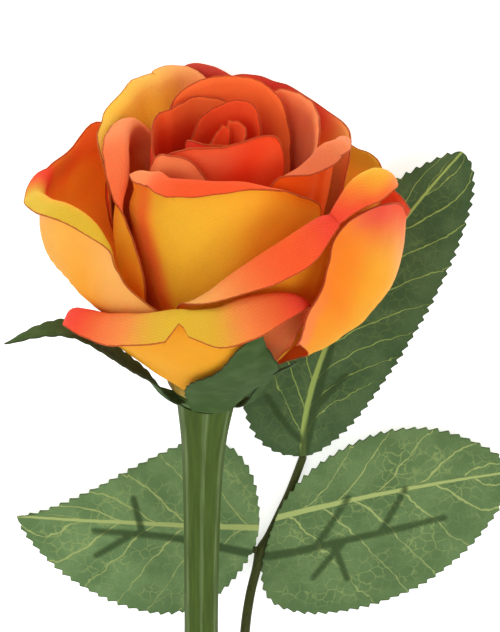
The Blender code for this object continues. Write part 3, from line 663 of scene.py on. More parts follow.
class Growth:
    """A Geometry Nodes tree in the making, with named inputs for what is set from the script."""

    def __init__(self, label: str) -> None:
        """Start a tree with its two geometry sockets.

        Args:
            label: Name of the tree.
        """
        self.label = label
        self.tree = bpy.data.node_groups.new(label, "GeometryNodeTree")
        for way in ("INPUT", "OUTPUT"):
            self.tree.interface.new_socket("Geometry", in_out=way, socket_type="NodeSocketGeometry")
        self.source = self.tree.nodes.new("NodeGroupInput")
        self.sink = self.tree.nodes.new("NodeGroupOutput")

    def input(self, name: str, kind: str) -> bpy.types.NodeSocket:
        """Add a named input of the tree."""
        self.tree.interface.new_socket(name, in_out="INPUT", socket_type="NodeSocket" + kind)
        return self.source.outputs[name]

    def node(self, kind: str, feeds: dict[int, object] | None = None, **values: object) -> bpy.types.Node:
        """Add a node.

        Args:
            kind: Type of the node.
            feeds: What feeds its inputs, by their place.
            **values: Its properties.

        Returns:
            The node.
        """
        made = self.tree.nodes.new(kind)
        for name, value in values.items():
            setattr(made, name, value)
        for place, value in (feeds or {}).items():
            if isinstance(value, bpy.types.NodeSocket):
                self.tree.links.new(value, made.inputs[place])
            else:
                made.inputs[place].default_value = value
        return made

    def chance(self, kind: str, low: object, high: object, seed: object) -> bpy.types.NodeSocket:
        """Give a random number or vector to each point.

        Args:
            kind: "FLOAT" or "FLOAT_VECTOR".
            low: Least value.
            high: Greatest value.
            seed: Picks the draw.

        Returns:
            The random value.
        """
        first, out = {"FLOAT": (2, 1), "FLOAT_VECTOR": (0, 0)}[kind]
        return self.node("FunctionNodeRandomValue", {first: low, first + 1: high, 8: seed},
                         data_type=kind).outputs[out]

    def named(self, name: str, kind: str) -> bpy.types.NodeSocket:
        """Read an attribute of the points."""
        return self.node("GeometryNodeInputNamedAttribute", {0: name}, data_type=kind).outputs[0]

    def finish(self, geometry: bpy.types.NodeSocket, material: bpy.types.NodeSocket) -> None:
        """Make real what the tree repeats, give it its material and end the tree.

        Args:
            geometry: What the tree has made.
            material: The finish of all of it.
        """
        real = self.node("GeometryNodeRealizeInstances", {0: geometry})
        painted = self.node("GeometryNodeSetMaterial", {0: real.outputs[0], 2: material})
        self.tree.links.new(painted.outputs[0], self.sink.inputs[0])

    def grow(self, mesh: bpy.types.Mesh, values: dict[str, object]) -> bpy.types.Mesh:
        """Run the tree on a mesh of lines.

        Args:
            mesh: Lines, with the attributes that the tree reads.
            values: What each named input is set to.

        Returns:
            The finished mesh, with no modifier left.
        """
        holder = bpy.data.objects.new(self.label, mesh)
        bpy.context.scene.collection.objects.link(holder)
        modifier = holder.modifiers.new(self.label, "NODES")
        modifier.node_group = self.tree
        for item in self.tree.interface.items_tree:
            if item.in_out == "INPUT" and item.name in values:
                modifier[item.identifier] = values[item.name]
        holder.update_tag()
        depsgraph = bpy.context.evaluated_depsgraph_get()
        made = bpy.data.meshes.new_from_object(holder.evaluated_get(depsgraph),
                                               preserve_all_data_layers=True, depsgraph=depsgraph)
        bpy.data.objects.remove(holder, do_unlink=True)
        return made


def line_mesh(name: str, lines: Sequence[np.ndarray], numbers: dict[str, np.ndarray]) -> bpy.types.Mesh:
    """Make a mesh of open lines.

    Args:
        name: Name of the mesh.
        lines: Runs of points in metres.
        numbers: For each attribute, its value at each point.

    Returns:
        The mesh.
    """
    edges, count = [], 0
    for line in lines:
        edges += [(count + k, count + k + 1) for k in range(len(line) - 1)]
        count += len(line)
    mesh = bpy.data.meshes.new(name)
    mesh.from_pydata(np.vstack(lines).tolist(), edges, [])
    note_numbers(mesh, numbers)
    return mesh


@dataclass(frozen=True)
class CutEdge:
    """The cut edge of a petal: its points in metres and the way that the cloth ends there."""

    points: np.ndarray
    away: np.ndarray


@dataclass(frozen=True)
class LooseThreads:
    """Threads that have come loose along cut edges, repeated with Geometry Nodes.

    every and length are in mm, share is the share of places that have one, radius is a part of its
    length, and stray is how far it turns off the way the cloth ends.
    """

    every: float = 1.6
    share: float = 0.16
    length: tuple[float, float] = (0.35, 1.5)
    radius: float = 0.045
    stray: float = 0.75
    seed: int = 12
    colour: Colour = (0.50, 0.10, 0.03)

    def tree(self) -> Growth:
        """Build the tree: bent threads on points that are picked along the edges.

        Returns:
            The tree.
        """
        g = Growth("loose_threads")
        spacing, share = g.input("Spacing", "Float"), g.input("Share", "Float")
        shortest, longest = g.input("Shortest", "Float"), g.input("Longest", "Float")
        thick, seed = g.input("Radius", "Float"), g.input("Seed", "Int")
        material = g.input("Material", "Material")
        edges = g.node("GeometryNodeMeshToCurve", {0: g.source.outputs[0]})
        points = g.node("GeometryNodeResampleCurve", {0: edges.outputs[0], 3: spacing}, mode="LENGTH")
        picked = g.node("FunctionNodeCompare", {0: g.chance("FLOAT", 0.0, 1.0, seed), 1: share},
                        data_type="FLOAT", operation="LESS_THAN")
        run = g.node("GeometryNodeCurveQuadraticBezier",
                     {0: 4, 1: (0.0, 0.0, -0.2), 2: (0.1, 0.0, 0.5), 3: (0.45, 0.1, 1.0)})
        ring = g.node("GeometryNodeCurvePrimitiveCircle", {0: 4, 4: thick})
        thread = g.node("GeometryNodeCurveToMesh", {0: run.outputs[0], 1: ring.outputs[0], 3: True})
        stray = g.chance("FLOAT_VECTOR", (-self.stray,) * 3, (self.stray,) * 3, seed)
        aim = g.node("ShaderNodeVectorMath", {0: g.named("away", "FLOAT_VECTOR"), 1: stray}, operation="ADD")
        turn = g.node("FunctionNodeAlignRotationToVector", {2: aim.outputs[0]}, axis="Z")
        size = g.chance("FLOAT", shortest, longest, seed)
        placed = g.node("GeometryNodeInstanceOnPoints", {0: points.outputs[0], 1: picked.outputs[0],
                                                         2: thread.outputs[0], 5: turn.outputs[0], 6: size})
        g.finish(placed.outputs[0], material)
        return g

    def material(self) -> bpy.types.Material:
        """Build the finish of a loose thread, uneven along its length.

        Returns:
            The material.
        """
        g = Graph("loose_thread")
        place = g.node("ShaderNodeTexCoord").outputs["Object"]
        dark = tuple(0.55 * c for c in self.colour)
        uneven = g.ramp(g.noise(place, 900.0), 0.4, 0.6)
        return g.finish(g.mix(uneven, self.colour, dark), 0.85, DULL_GLOSS)

    def build(self, edges: Sequence[CutEdge], name: str, node: str, slot: str,
              growth: Growth, material: bpy.types.Material) -> bpy.types.Object:
        """Grow threads along the edges of one whorl.

        Args:
            edges: Cut edges of the whorl's petals.
            name: Name of the piece.
            node: CAD node that the piece replaces.
            slot: Material slot in the record.
            growth: The tree.
            material: Finish of the threads.

        Returns:
            The threads, as one piece.
        """
        away = np.vstack([edge.away for edge in edges])
        mesh = line_mesh(name, [edge.points for edge in edges], {"away": away})
        grown = growth.grow(mesh, {
            "Spacing": self.every * MM, "Share": self.share, "Shortest": self.length[0] * MM,
            "Longest": self.length[1] * MM, "Radius": self.radius, "Seed": self.seed + len(name),
            "Material": material})
        return dressed(grown, name, node, slot)


class Surface:
    """A mesh in the making: points in metres, faces, and what its finish reads at each point."""

    def __init__(self, name: str, points: np.ndarray, faces: list[tuple[int, ...]]) -> None:
        """Keep the points and faces.

        Args:
            name: Name of the piece.
            points: Points in metres in the row frame.
            faces: Numbers of each face's points.
        """
        self.name = name
        self.points = points
        self.faces = faces
        self.numbers: dict[str, np.ndarray] = {}

    def build(self, material: bpy.types.Material, node: str, slot: str) -> bpy.types.Object:
        """Make the object, hang it under the root body and hide the CAD node that it replaces.

        Args:
            material: Finish of the whole piece.
            node: CAD node that the piece replaces.
            slot: Material slot in the record.

        Returns:
            The finished piece.
        """
        mesh = bpy.data.meshes.new(self.name)
        mesh.from_pydata(self.points.tolist(), [], self.faces)
        note_numbers(mesh, self.numbers)
        mesh.materials.append(material)
        return dressed(mesh, self.name, node, slot)


def grid_normals(grid: np.ndarray) -> np.ndarray:
    """Work out the normals of a grid, evened out where its rays meet in one point.

    Args:
        grid: Points, rays by rows.

    Returns:
        A normal at each point.
    """
    across = np.gradient(grid, axis=0)
    along = np.gradient(grid, axis=1)
    normal = np.cross(across, along)
    normal[:, 0] = normal[:, min(2, grid.shape[1] - 1)]
    return unit(normal)


def thick_sheet(name: str, grid: np.ndarray, thickness: float, numbers: dict[str, np.ndarray],
                pole: bool = False) -> Surface:
    """Close a grid of middle points into a thin sheet.

    Args:
        name: Name of the piece.
        grid: Middle points in metres, rows by columns.
        thickness: Thickness in mm.
        numbers: For each attribute, its values at the grid, or a pair of them for the two faces.
        pole: True where the first column is one point.

    Returns:
        The closed surface, with the first face on the side that its normals show.
    """
    rows, columns = grid.shape[:2]
    normals = grid_normals(grid)
    if pole:
        normals[:, 0] = unit(normals[:, 0].mean(0))
    half = normals * thickness * MM / 2

    def flat(values: np.ndarray) -> np.ndarray:
        """List a grid's values, with a pole's kept once.

        Args:
            values: A value for each grid point.

        Returns:
            The values in the order of the points.
        """
        if pole:
            return np.concatenate([values[:1, 0], values[:, 1:].reshape(-1, *values.shape[2:])])
        return values.reshape(-1, *values.shape[2:])

    def at(i: int, j: int) -> int:
        """Find a grid point's number.

        Args:
            i: Its row.
            j: Its column.

        Returns:
            Its number in the list of points.
        """
        if not pole:
            return i * columns + j
        return 0 if j == 0 else 1 + i * (columns - 1) + (j - 1)

    top, bottom = flat(grid + half), flat(grid - half)
    count = len(top)
    faces = []
    for i in range(rows - 1):
        for j in range(columns - 1):
            corners = [at(i, j), at(i + 1, j), at(i + 1, j + 1), at(i, j + 1)]
            face = [c for k, c in enumerate(corners) if c != corners[k - 1]]
            faces.append(tuple(face))
            faces.append(tuple(c + count for c in reversed(face)))
    border = [at(0, j) for j in range(columns)] + [at(i, columns - 1) for i in range(1, rows)]
    border += [at(rows - 1, j) for j in range(columns - 2, -1, -1)]
    border = border[:-1] if pole else border + [at(i, 0) for i in range(rows - 2, 0, -1)]
    for a, b in zip(border, border[1:] + border[:1]):
        faces.append((a, b, b + count, a + count))
    surface = Surface(name, np.vstack([top, bottom]), faces)
    for key, values in numbers.items():
        first, second = values if isinstance(values, tuple) else (values, values)
        surface.numbers[key] = np.concatenate([flat(first), flat(second)])
    return surface


class Face(Enum):
    """Which face of a petal a wash of colour is on."""

    INNER = "inner"
    OUTER = "outer"
    BOTH = "both"


@dataclass(frozen=True)
class Wash:
    """A soft patch of colour on a petal: dye, and in some places painted shade.

    at is (azimuth of the ray, mm in from the cut edge), reach is how far it fades out on each, and
    amount is its strength at the middle.
    """

    colour: Colour
    at: tuple[float, float]
    reach: tuple[float, float]
    amount: float = 1.0
    face: Face = Face.BOTH

    def strength(self, azimuth: np.ndarray, depth: np.ndarray) -> np.ndarray:
        """Strength of the wash at points of the petal.

        Args:
            azimuth: Azimuth of each point's ray, degrees.
            depth: Distance from the cut edge, mm.

        Returns:
            Strength from 0 to 1.
        """
        across = (azimuth - self.at[0]) / self.reach[0]
        along = (depth - self.at[1]) / self.reach[1]
        return self.amount * np.exp(-(across ** 2) ** 1.3 - (along ** 2) ** 1.3)


YELLOW: Colour = (0.90, 0.45, 0.028)
GOLD: Colour = (0.89, 0.34, 0.014)
ORANGE: Colour = (0.93, 0.21, 0.010)
CORAL: Colour = (0.85, 0.090, 0.020)
RED: Colour = (0.80, 0.055, 0.028)
PINK: Colour = (0.93, 0.25, 0.085)
PEACH: Colour = (0.88, 0.42, 0.105)
DEEP: Colour = (0.74, 0.035, 0.005)
LIME: Colour = (0.62, 0.42, 0.030)
ROSE: Colour = (0.70, 0.15, 0.055)
FLAME: Colour = (0.95, 0.17, 0.035)
EMBER: Colour = (0.85, 0.11, 0.005)
WINE: Colour = (0.50, 0.055, 0.032)
TANGERINE: Colour = (0.95, 0.34, 0.02)
STRAW: Colour = (0.93, 0.54, 0.045)
AMBER: Colour = (0.98, 0.48, 0.025)
# a red darkened by painted shade of the bloom's middle
SHADED_CRIMSON: Colour = (0.55, 0.035, 0.010)


@dataclass(frozen=True)
class DyeAndShade:
    """How a petal is coloured: its outer and inner faces, their margins and the washes over them, some of
    painted shade.
    """

    face: Colour = GOLD
    lining: Colour = ORANGE
    margin: Colour = CORAL
    lip: Colour = CORAL
    depth: float = 2.5
    lip_depth: float = 5.0
    foot: Colour = ORANGE
    washes: tuple[Wash, ...] = ()

    def colours(self, azimuth: np.ndarray, depth: np.ndarray, share: np.ndarray,
                side: Face) -> np.ndarray:
        """Colour of one face of the petal.

        Args:
            azimuth: Azimuth of each point's ray, degrees.
            depth: Distance from the cut edge, mm.
            share: Share of the way up from the foot.
            side: The face wanted.

        Returns:
            Linear colour at each point.
        """
        inner = side is Face.INNER
        colour = np.zeros((*azimuth.shape, 3)) + np.array(self.lining if inner else self.face)
        reach = self.lip_depth if inner else self.depth

        def lay(over: Colour, strength: np.ndarray) -> None:
            """Blend a colour over what is there.

            Args:
                over: The colour.
                strength: How much of it there is at each point.
            """
            nonlocal colour
            s = np.clip(strength, 0, 1)[..., None]
            colour = colour * (1 - s) + np.array(over) * s

        lay(self.foot, 1 - smooth(share / 0.45))
        lay(self.lip if inner else self.margin, 1 - smooth((depth / reach - 0.4) / 0.9))
        for wash in self.washes:
            if wash.face in (side, Face.BOTH):
                lay(wash.colour, wash.strength(azimuth, depth))
        return colour


@dataclass(frozen=True)
class Petal:
    """A petal on a cup wall. Rim points are (azimuth, height, length of the rolled lip).

    wall is the (radius, height) run that it follows, turn and bend are the angle and the radius of its
    lip's roll, left, right and belly move its sides and middle out, mm, notch is the (azimuth, half width
    in degrees, share of the lip) of a cut in its edge, and under names the petals that lie over it.
    layer is the room left below those, and waves the (length, height) of its unevenness, mm.
    """

    name: str
    wall: tuple
    foot: tuple[float, float]
    rim: tuple
    turn: float = 120.0
    bend: float = 1.4
    left: float = 0.0
    right: float = 0.0
    belly: float = 0.0
    notch: tuple[float, float, float] | None = None
    under: tuple[str, ...] = ()
    dye_and_shade: DyeAndShade = DyeAndShade()
    rays: int = 96
    rows: int = 26
    lip_rows: int = 9
    layer: float = 1.6
    waves: tuple = ((13.0, 0.22), (6.0, 0.07))
    thickness: float = 0.3

    def wall_radius(self, height: np.ndarray) -> np.ndarray:
        """Radius of the cup wall, carried on past its last point.

        Args:
            height: Heights, mm.

        Returns:
            Radius at each height, mm.
        """
        curve = through(self.wall)
        radius, at = curve[:, 0], curve[:, 1]
        slope = (radius[-1] - radius[-6]) / (at[-1] - at[-6])
        return np.interp(height, at, radius) + np.maximum(height - at[-1], 0) * slope

    def span(self) -> tuple[float, float]:
        """Middle azimuth of the rim and its half width, degrees."""
        azimuths = [point[0] for point in self.rim]
        return (min(azimuths) + max(azimuths)) / 2, (max(azimuths) - min(azimuths)) / 2

    def off_middle(self, azimuth: np.ndarray) -> np.ndarray:
        """Azimuth from the middle of the rim, from -180 to 180 degrees."""
        return (azimuth - self.span()[0] + 180.0) % 360.0 - 180.0

    def off_side(self, azimuth: np.ndarray) -> np.ndarray:
        """Degrees beyond the side of the rim, less than 0 within it."""
        return np.abs(self.off_middle(azimuth)) - self.span()[1]

    def radius(self, azimuth: np.ndarray, height: np.ndarray) -> np.ndarray:
        """Radius of the petal's face, kept inside the petals that lie over it.

        Args:
            azimuth: Azimuths, degrees.
            height: Heights, mm.

        Returns:
            Radius at each point, mm.
        """
        side = np.clip(self.off_middle(azimuth) / self.span()[1], -1.2, 1.2)
        grow = smooth((height - self.foot[1]) / 18.0)
        out = np.where(side < 0, self.left, self.right) * side ** 2
        radius = self.wall_radius(height)
        radius = radius + grow * (out + self.belly * (1 - np.minimum(side ** 2, 1.2)))
        for name in self.under:
            limit = PETALS[name].cover_radius(azimuth, height) - self.layer
            radius = radius - softened(radius - limit, 0.4)
        return np.maximum(radius, 0.3)

    def cover_radius(self, azimuth: np.ndarray, height: np.ndarray) -> np.ndarray:
        """Radius to stay under, fading out to the sides of the rim, above it and at the foot.

        Args:
            azimuth: Azimuths, degrees.
            height: Heights, mm.

        Returns:
            Radius at each point, mm.
        """
        top, fade = max(point[1] for point in self.rim), 24.0
        off = self.off_side(azimuth)
        beside = 6.0 * smooth(off / fade) + 50.0 * (off > fade)
        above = 12.0 * smooth((height - top - 3.0) / 8.0)
        below = 4.0 * (1.0 - smooth((height - self.foot[1] - 1.0) / 7.0))
        return self.radius(azimuth, height) + beside + above + below

    def point(self, azimuth: np.ndarray, height: np.ndarray) -> np.ndarray:
        """Point of the face in the upright frame, mm."""
        return round_axis(self.radius(azimuth, height), np.radians(azimuth), height)

    def seed(self) -> int:
        """A fixed number for this petal's own unevenness."""
        return sum(ord(letter) * (k + 3) for k, letter in enumerate(self.name))

    def middle_surface(self) -> tuple[np.ndarray, np.ndarray]:
        """Lay out the middle surface.

        Returns:
            The grid of points from the foot to the lip's edge, and each ray's azimuth.
        """
        rim = through(self.rim, self.rays, (0.5, 1.0, 0.3))
        azimuth, lip = rim[:, 0], np.maximum(rim[:, 2], 0.8)
        lip = lip + 0.18 * ripple(np.arange(self.rays) * 0.9, np.zeros(self.rays), 5.0, self.seed())
        if self.notch is not None:
            at, reach, cut = self.notch
            lip = lip * (1 - cut * np.maximum(1 - np.abs(azimuth - at) / reach, 0))
        rise = np.minimum(self.bend * math.sin(math.radians(min(self.turn, 90))), lip * 0.8)
        height = rim[:, 1] - rise
        t = np.linspace(0, 1, self.rows + 1)[None, :]
        foot_azimuth, foot_height = self.foot
        face = self.point(foot_azimuth + (azimuth[:, None] - foot_azimuth) * t ** 0.8,
                          foot_height + (height[:, None] - foot_height) * t)
        fold, step = face[:, -1], 0.3
        across = self.point(azimuth + step, height) - self.point(azimuth - step, height)
        up = self.point(azimuth, height + step) - self.point(azimuth, height - step)
        normal = unit(np.cross(across, up))
        normal *= np.where((normal * fold * [1, 1, 0]).sum(-1, keepdims=True) < 0, -1, 1)
        along = unit(np.gradient(fold, axis=0))
        onward = unit(np.cross(along, normal))
        onward *= np.where((onward * (fold - face[:, -2])).sum(-1, keepdims=True) < 0, -1, 1)
        turn = np.radians(self.turn) * smooth(lip / min(lip.max(), 4.0))
        length = np.linspace(0, 1, self.lip_rows + 1)[1:][None, :] * lip[:, None]
        angle = np.minimum(length / self.bend, np.maximum(turn[:, None], 1e-6))
        rest = np.maximum(length - self.bend * turn[:, None], 0)
        ahead = self.bend * np.sin(angle) + rest * np.cos(turn[:, None])
        out = self.bend * (1 - np.cos(angle)) + rest * np.sin(turn[:, None])
        rolled = fold[:, None] + ahead[..., None] * onward[:, None] + out[..., None] * normal[:, None]
        return np.concatenate([face, rolled], 1), azimuth

    def build(self, material: bpy.types.Material, whorl: "Whorl") -> CutEdge:
        """Build the petal and dress it.

        Args:
            material: Finish of the petal.
            whorl: The whorl that it belongs to.

        Returns:
            Its cut edge, for loose threads.
        """
        grid, azimuth = self.middle_surface()
        steps = np.linalg.norm(np.diff(grid, axis=1), axis=2)
        run = np.concatenate([np.zeros((len(grid), 1)), np.cumsum(steps, 1)], 1)
        share = run / run[:, -1:]
        depth = run[:, -1:] - run
        fan = run_along(grid[:, self.rows // 2]) / np.mean(run[:, self.rows // 2])
        fan = (fan - fan.mean())[:, None]
        cloth = np.stack([run * np.sin(fan), run * np.cos(fan), 0 * run], -1)
        waves = sum(ripple(cloth[..., 0], cloth[..., 1], wavelength, self.seed() + k) * height
                    for k, (wavelength, height) in enumerate(self.waves, 1))
        grid = grid + grid_normals(grid) * (waves * smooth(share / 0.5))[..., None]
        beside = np.linalg.norm(np.diff(grid, axis=0), axis=2)
        from_left = np.concatenate([np.zeros((1, grid.shape[1])), np.cumsum(beside, 0)])
        edge = np.minimum(depth, np.minimum(from_left, from_left[-1:] - from_left))
        edge = np.where(run < 6.0, 5.0, edge)  # no singed edge near the foot
        azimuths = azimuth[:, None] + 0 * run
        face_colours = [self.dye_and_shade.colours(azimuths, depth, share, side) for side in (Face.OUTER, Face.INNER)]
        laid = POSE.sheet(grid, self.thickness)
        face = slice(4, -12)
        outward = (grid_normals(grid)[:, face] * grid[:, face] * [1, 1, 0]).sum() > 0
        surface = thick_sheet(self.name, laid, self.thickness, {
            "cloth": cloth, "edge": edge, "dye_and_shade": tuple(face_colours if outward else face_colours[::-1])}, pole=True)
        surface.build(material, whorl.value, whorl.slot())
        edge_rays = laid[4:-4]
        return CutEdge(edge_rays[:, -1], unit(edge_rays[:, -1] - edge_rays[:, -2]))


class Whorl(Enum):
    """The four whorls, named as their CAD nodes."""

    OUTER = "outer_petals"
    MIDDLE = "middle_petals"
    INNER = "inner_petals"
    HEART = "heart_petals"

    def called(self, what: str) -> str:
        """Name of what belongs to the whorl."""
        return self.value.replace("petals", what)

    def slot(self) -> str:
        """Material slot of the whorl."""
        return self.called("petal_fabric")


# Cup walls that the petals follow: (radius, height) points in mm.
WALL_LEFT = ((6, 0), (15, 11), (24, 20), (30, 26), (33.5, 30), (35, 36), (34.5, 41), (35.5, 47))
WALL_RIGHT = ((6, 0), (12, 7), (20, 14), (28.5, 21), (33, 26.5), (35, 31), (36, 36), (35.5, 44))
WALL_FRONT = ((6, 0), (14, 8), (23, 18), (28, 27), (31, 36))
WALL_BAND = ((6, 0.5), (13, 8), (21, 20), (27, 32), (30, 44), (32, 56))
WALL_BACK = ((6, 0), (15, 8), (24.5, 18), (31, 30), (34, 46))
WALL_MIDDLE = ((5.5, 2), (12, 10), (17, 22), (20, 36), (21.5, 50), (22, 62))
WALL_MIDDLE_LEFT = ((5.5, 2), (12, 10), (19, 22), (23.2, 36), (21, 49), (19, 62))
WALL_MIDDLE_BACK = ((5.5, 2), (12, 10), (17.5, 22), (21, 36), (23, 50), (25, 62))
WALL_INNER = ((5, 3), (9, 12), (12.5, 28), (14, 45), (14.5, 64))
WALL_INNER_WIDE = ((5, 3), (9.5, 12), (13.5, 28), (16, 45), (17.5, 62))
WALL_HEART = ((3, 4), (5, 14), (6.5, 30), (7.5, 46), (7.5, 62))
WALL_BUD = ((2, 4), (3, 28), (3, 60))

# Petals of each whorl: name, wall, foot as (azimuth, height), rim, then its roll and its dye, with painted
# shade in some washes.
OUTER = (
    Petal("outer_left", WALL_LEFT, (-90, 2), (
        (-150, 18, 0.5), (-150, 36, 0.5), (-135, 44.6, 0.8), (-121, 41.8, 0.8), (-106, 42, 1.2),
        (-96, 42.3, 3), (-86, 42.5, 4.5), (-74, 45.2, 5.5), (-60, 48.2, 5.8), (-52, 48.3, 5.2),
        (-46.5, 46.6, 4.2), (-43, 42.8, 2.4), (-41, 38, 1.2), (-38, 33.8, 0.7), (-30, 31, 0.5),
        (-24, 29, 0.5), (-20, 22, 0.5)),
        turn=115, bend=1.3, right=-7, under=("outer_front",),
        dye_and_shade=DyeAndShade(face=PEACH, lining=TANGERINE, margin=PEACH, lip=LIME, depth=3, lip_depth=5, washes=(
            Wash(RED, (-99, 1), (11, 7)),
            Wash(CORAL, (-128, 2), (24, 6), 0.8, Face.INNER),
            Wash(PINK, (-90, 5), (12, 8), 0.8, Face.OUTER),
            Wash(YELLOW, (-62, 10), (14, 12), 0.5, Face.OUTER),
            Wash(GOLD, (-46, 28), (26, 18), 0.9, Face.OUTER)))),
    Petal("outer_front", WALL_FRONT, (-18, 2), (
        (-74, 10, 0.5), (-74, 17, 2), (-68, 22.3, 5.5), (-44, 27.2, 8), (-30, 29.8, 8.6),
        (-16, 33.2, 8.4), (-9, 33.8, 7.6), (0, 35.3, 10), (8, 38, 10.5), (17, 39.1, 8.5),
        (25, 38, 5.5), (31, 34.8, 2.2), (33, 28, 0.8), (30, 16, 0.5)),
        turn=115, bend=1.5, left=4, notch=(-12.5, 3.5, 0.45),
        dye_and_shade=DyeAndShade(face=GOLD, lining=LIME, margin=ORANGE, lip=LIME, depth=2, foot=GOLD, washes=(
            Wash(PINK, (-38, 5), (13, 22), 0.7, Face.INNER),
            Wash(PINK, (9, 6), (7, 20), 0.6, Face.INNER),
            Wash(RED, (-64, 5), (25, 22), 1.0, Face.INNER),
            Wash(RED, (28, 5), (20, 22), 1.0, Face.INNER),
            # painted shade: the dark wedge at the right end of this petal's outer face
            Wash(WINE, (32, 8), (10, 14), 0.8, Face.OUTER)))),
    Petal("outer_band", WALL_BAND, (36, 2.5), (
        (-18, 22, 0.5), (-15, 31.7, 1.2), (-5, 36.4, 4), (8, 44.1, 8), (16, 48.1, 9.5), (25, 51.5, 9.5),
        (33, 53.7, 7), (38, 53.8, 5), (41, 57.2, 6.5), (45, 60.4, 8.5), (52, 60.8, 8.5), (59, 58.8, 6.8),
        (65, 55.6, 4), (71, 50, 1.5), (75, 40, 0.5), (72, 26, 0.5)),
        turn=140, bend=2, under=("outer_front", "outer_right"),
        dye_and_shade=DyeAndShade(face=GOLD, lining=ORANGE, margin=ORANGE, lip=CORAL, lip_depth=12, washes=(
            Wash(PEACH, (-14, 4), (20, 20), 1.0, Face.INNER),
            Wash(YELLOW, (57, 9), (18, 9), 1.0, Face.INNER),
            Wash(LIME, (58, 8), (12, 3), 0.6, Face.INNER),
            Wash(RED, (36, 3), (8, 8), 1.0, Face.INNER),
            Wash(RED, (50, 0), (12, 2), 0.6, Face.INNER),
            Wash(PINK, (65, 2), (7, 4), 0.8, Face.INNER)))),
    Petal("outer_right", WALL_RIGHT, (84, 2), (
        (28, 27.6, 0.5), (28.3, 33.7, 0.5), (30.3, 38, 0.5), (33.3, 41.6, 0.5), (34.5, 45.6, 0.5),
        (36.8, 49.8, 0.5), (41, 52.2, 0.5), (48, 52.8, 0.7), (57, 52, 1.2), (67, 49.6, 2.2),
        (77, 44.6, 2), (95, 41, 2), (116, 38, 1), (122, 25, 0.5), (118, 12, 0.5)),
        turn=60, bend=2.5,
        dye_and_shade=DyeAndShade(face=GOLD, lining=ORANGE, margin=PINK, lip=CORAL, depth=4, washes=(
            Wash(PINK, (88, 5), (20, 12), 1.0, Face.OUTER),
            Wash(RED, (64, 0), (26, 9), 1.0),
            Wash(ORANGE, (36, 3), (8, 12), 0.9, Face.OUTER),
            Wash(PEACH, (84, 14), (22, 12), 0.6, Face.OUTER)))),
    Petal("outer_back_right", WALL_BACK, (150, 2), (
        (112, 13, 0.5), (108, 30, 0.5), (108, 38, 0.5), (111, 43.3, 0.6), (115, 44.9, 0.7),
        (121, 45.1, 0.8), (130, 44.4, 0.8), (150, 46, 1.5), (178, 44, 1), (190, 32, 0.5),
        (186, 13, 0.5)),
        turn=60, under=("outer_right",),
        dye_and_shade=DyeAndShade(face=GOLD, lining=STRAW, margin=ORANGE, lip=LIME, foot=YELLOW)),
    Petal("outer_back_left", WALL_BACK, (195, 2), (
        (155, 13, 0.5), (152, 32, 0.5), (162, 43, 1), (190, 46, 1.5), (218, 43, 1),
        (228, 32, 0.5), (228, 13, 0.5)),
        turn=60, belly=-1.6, left=-2, right=-2, under=("outer_left", "outer_back_right")),
)
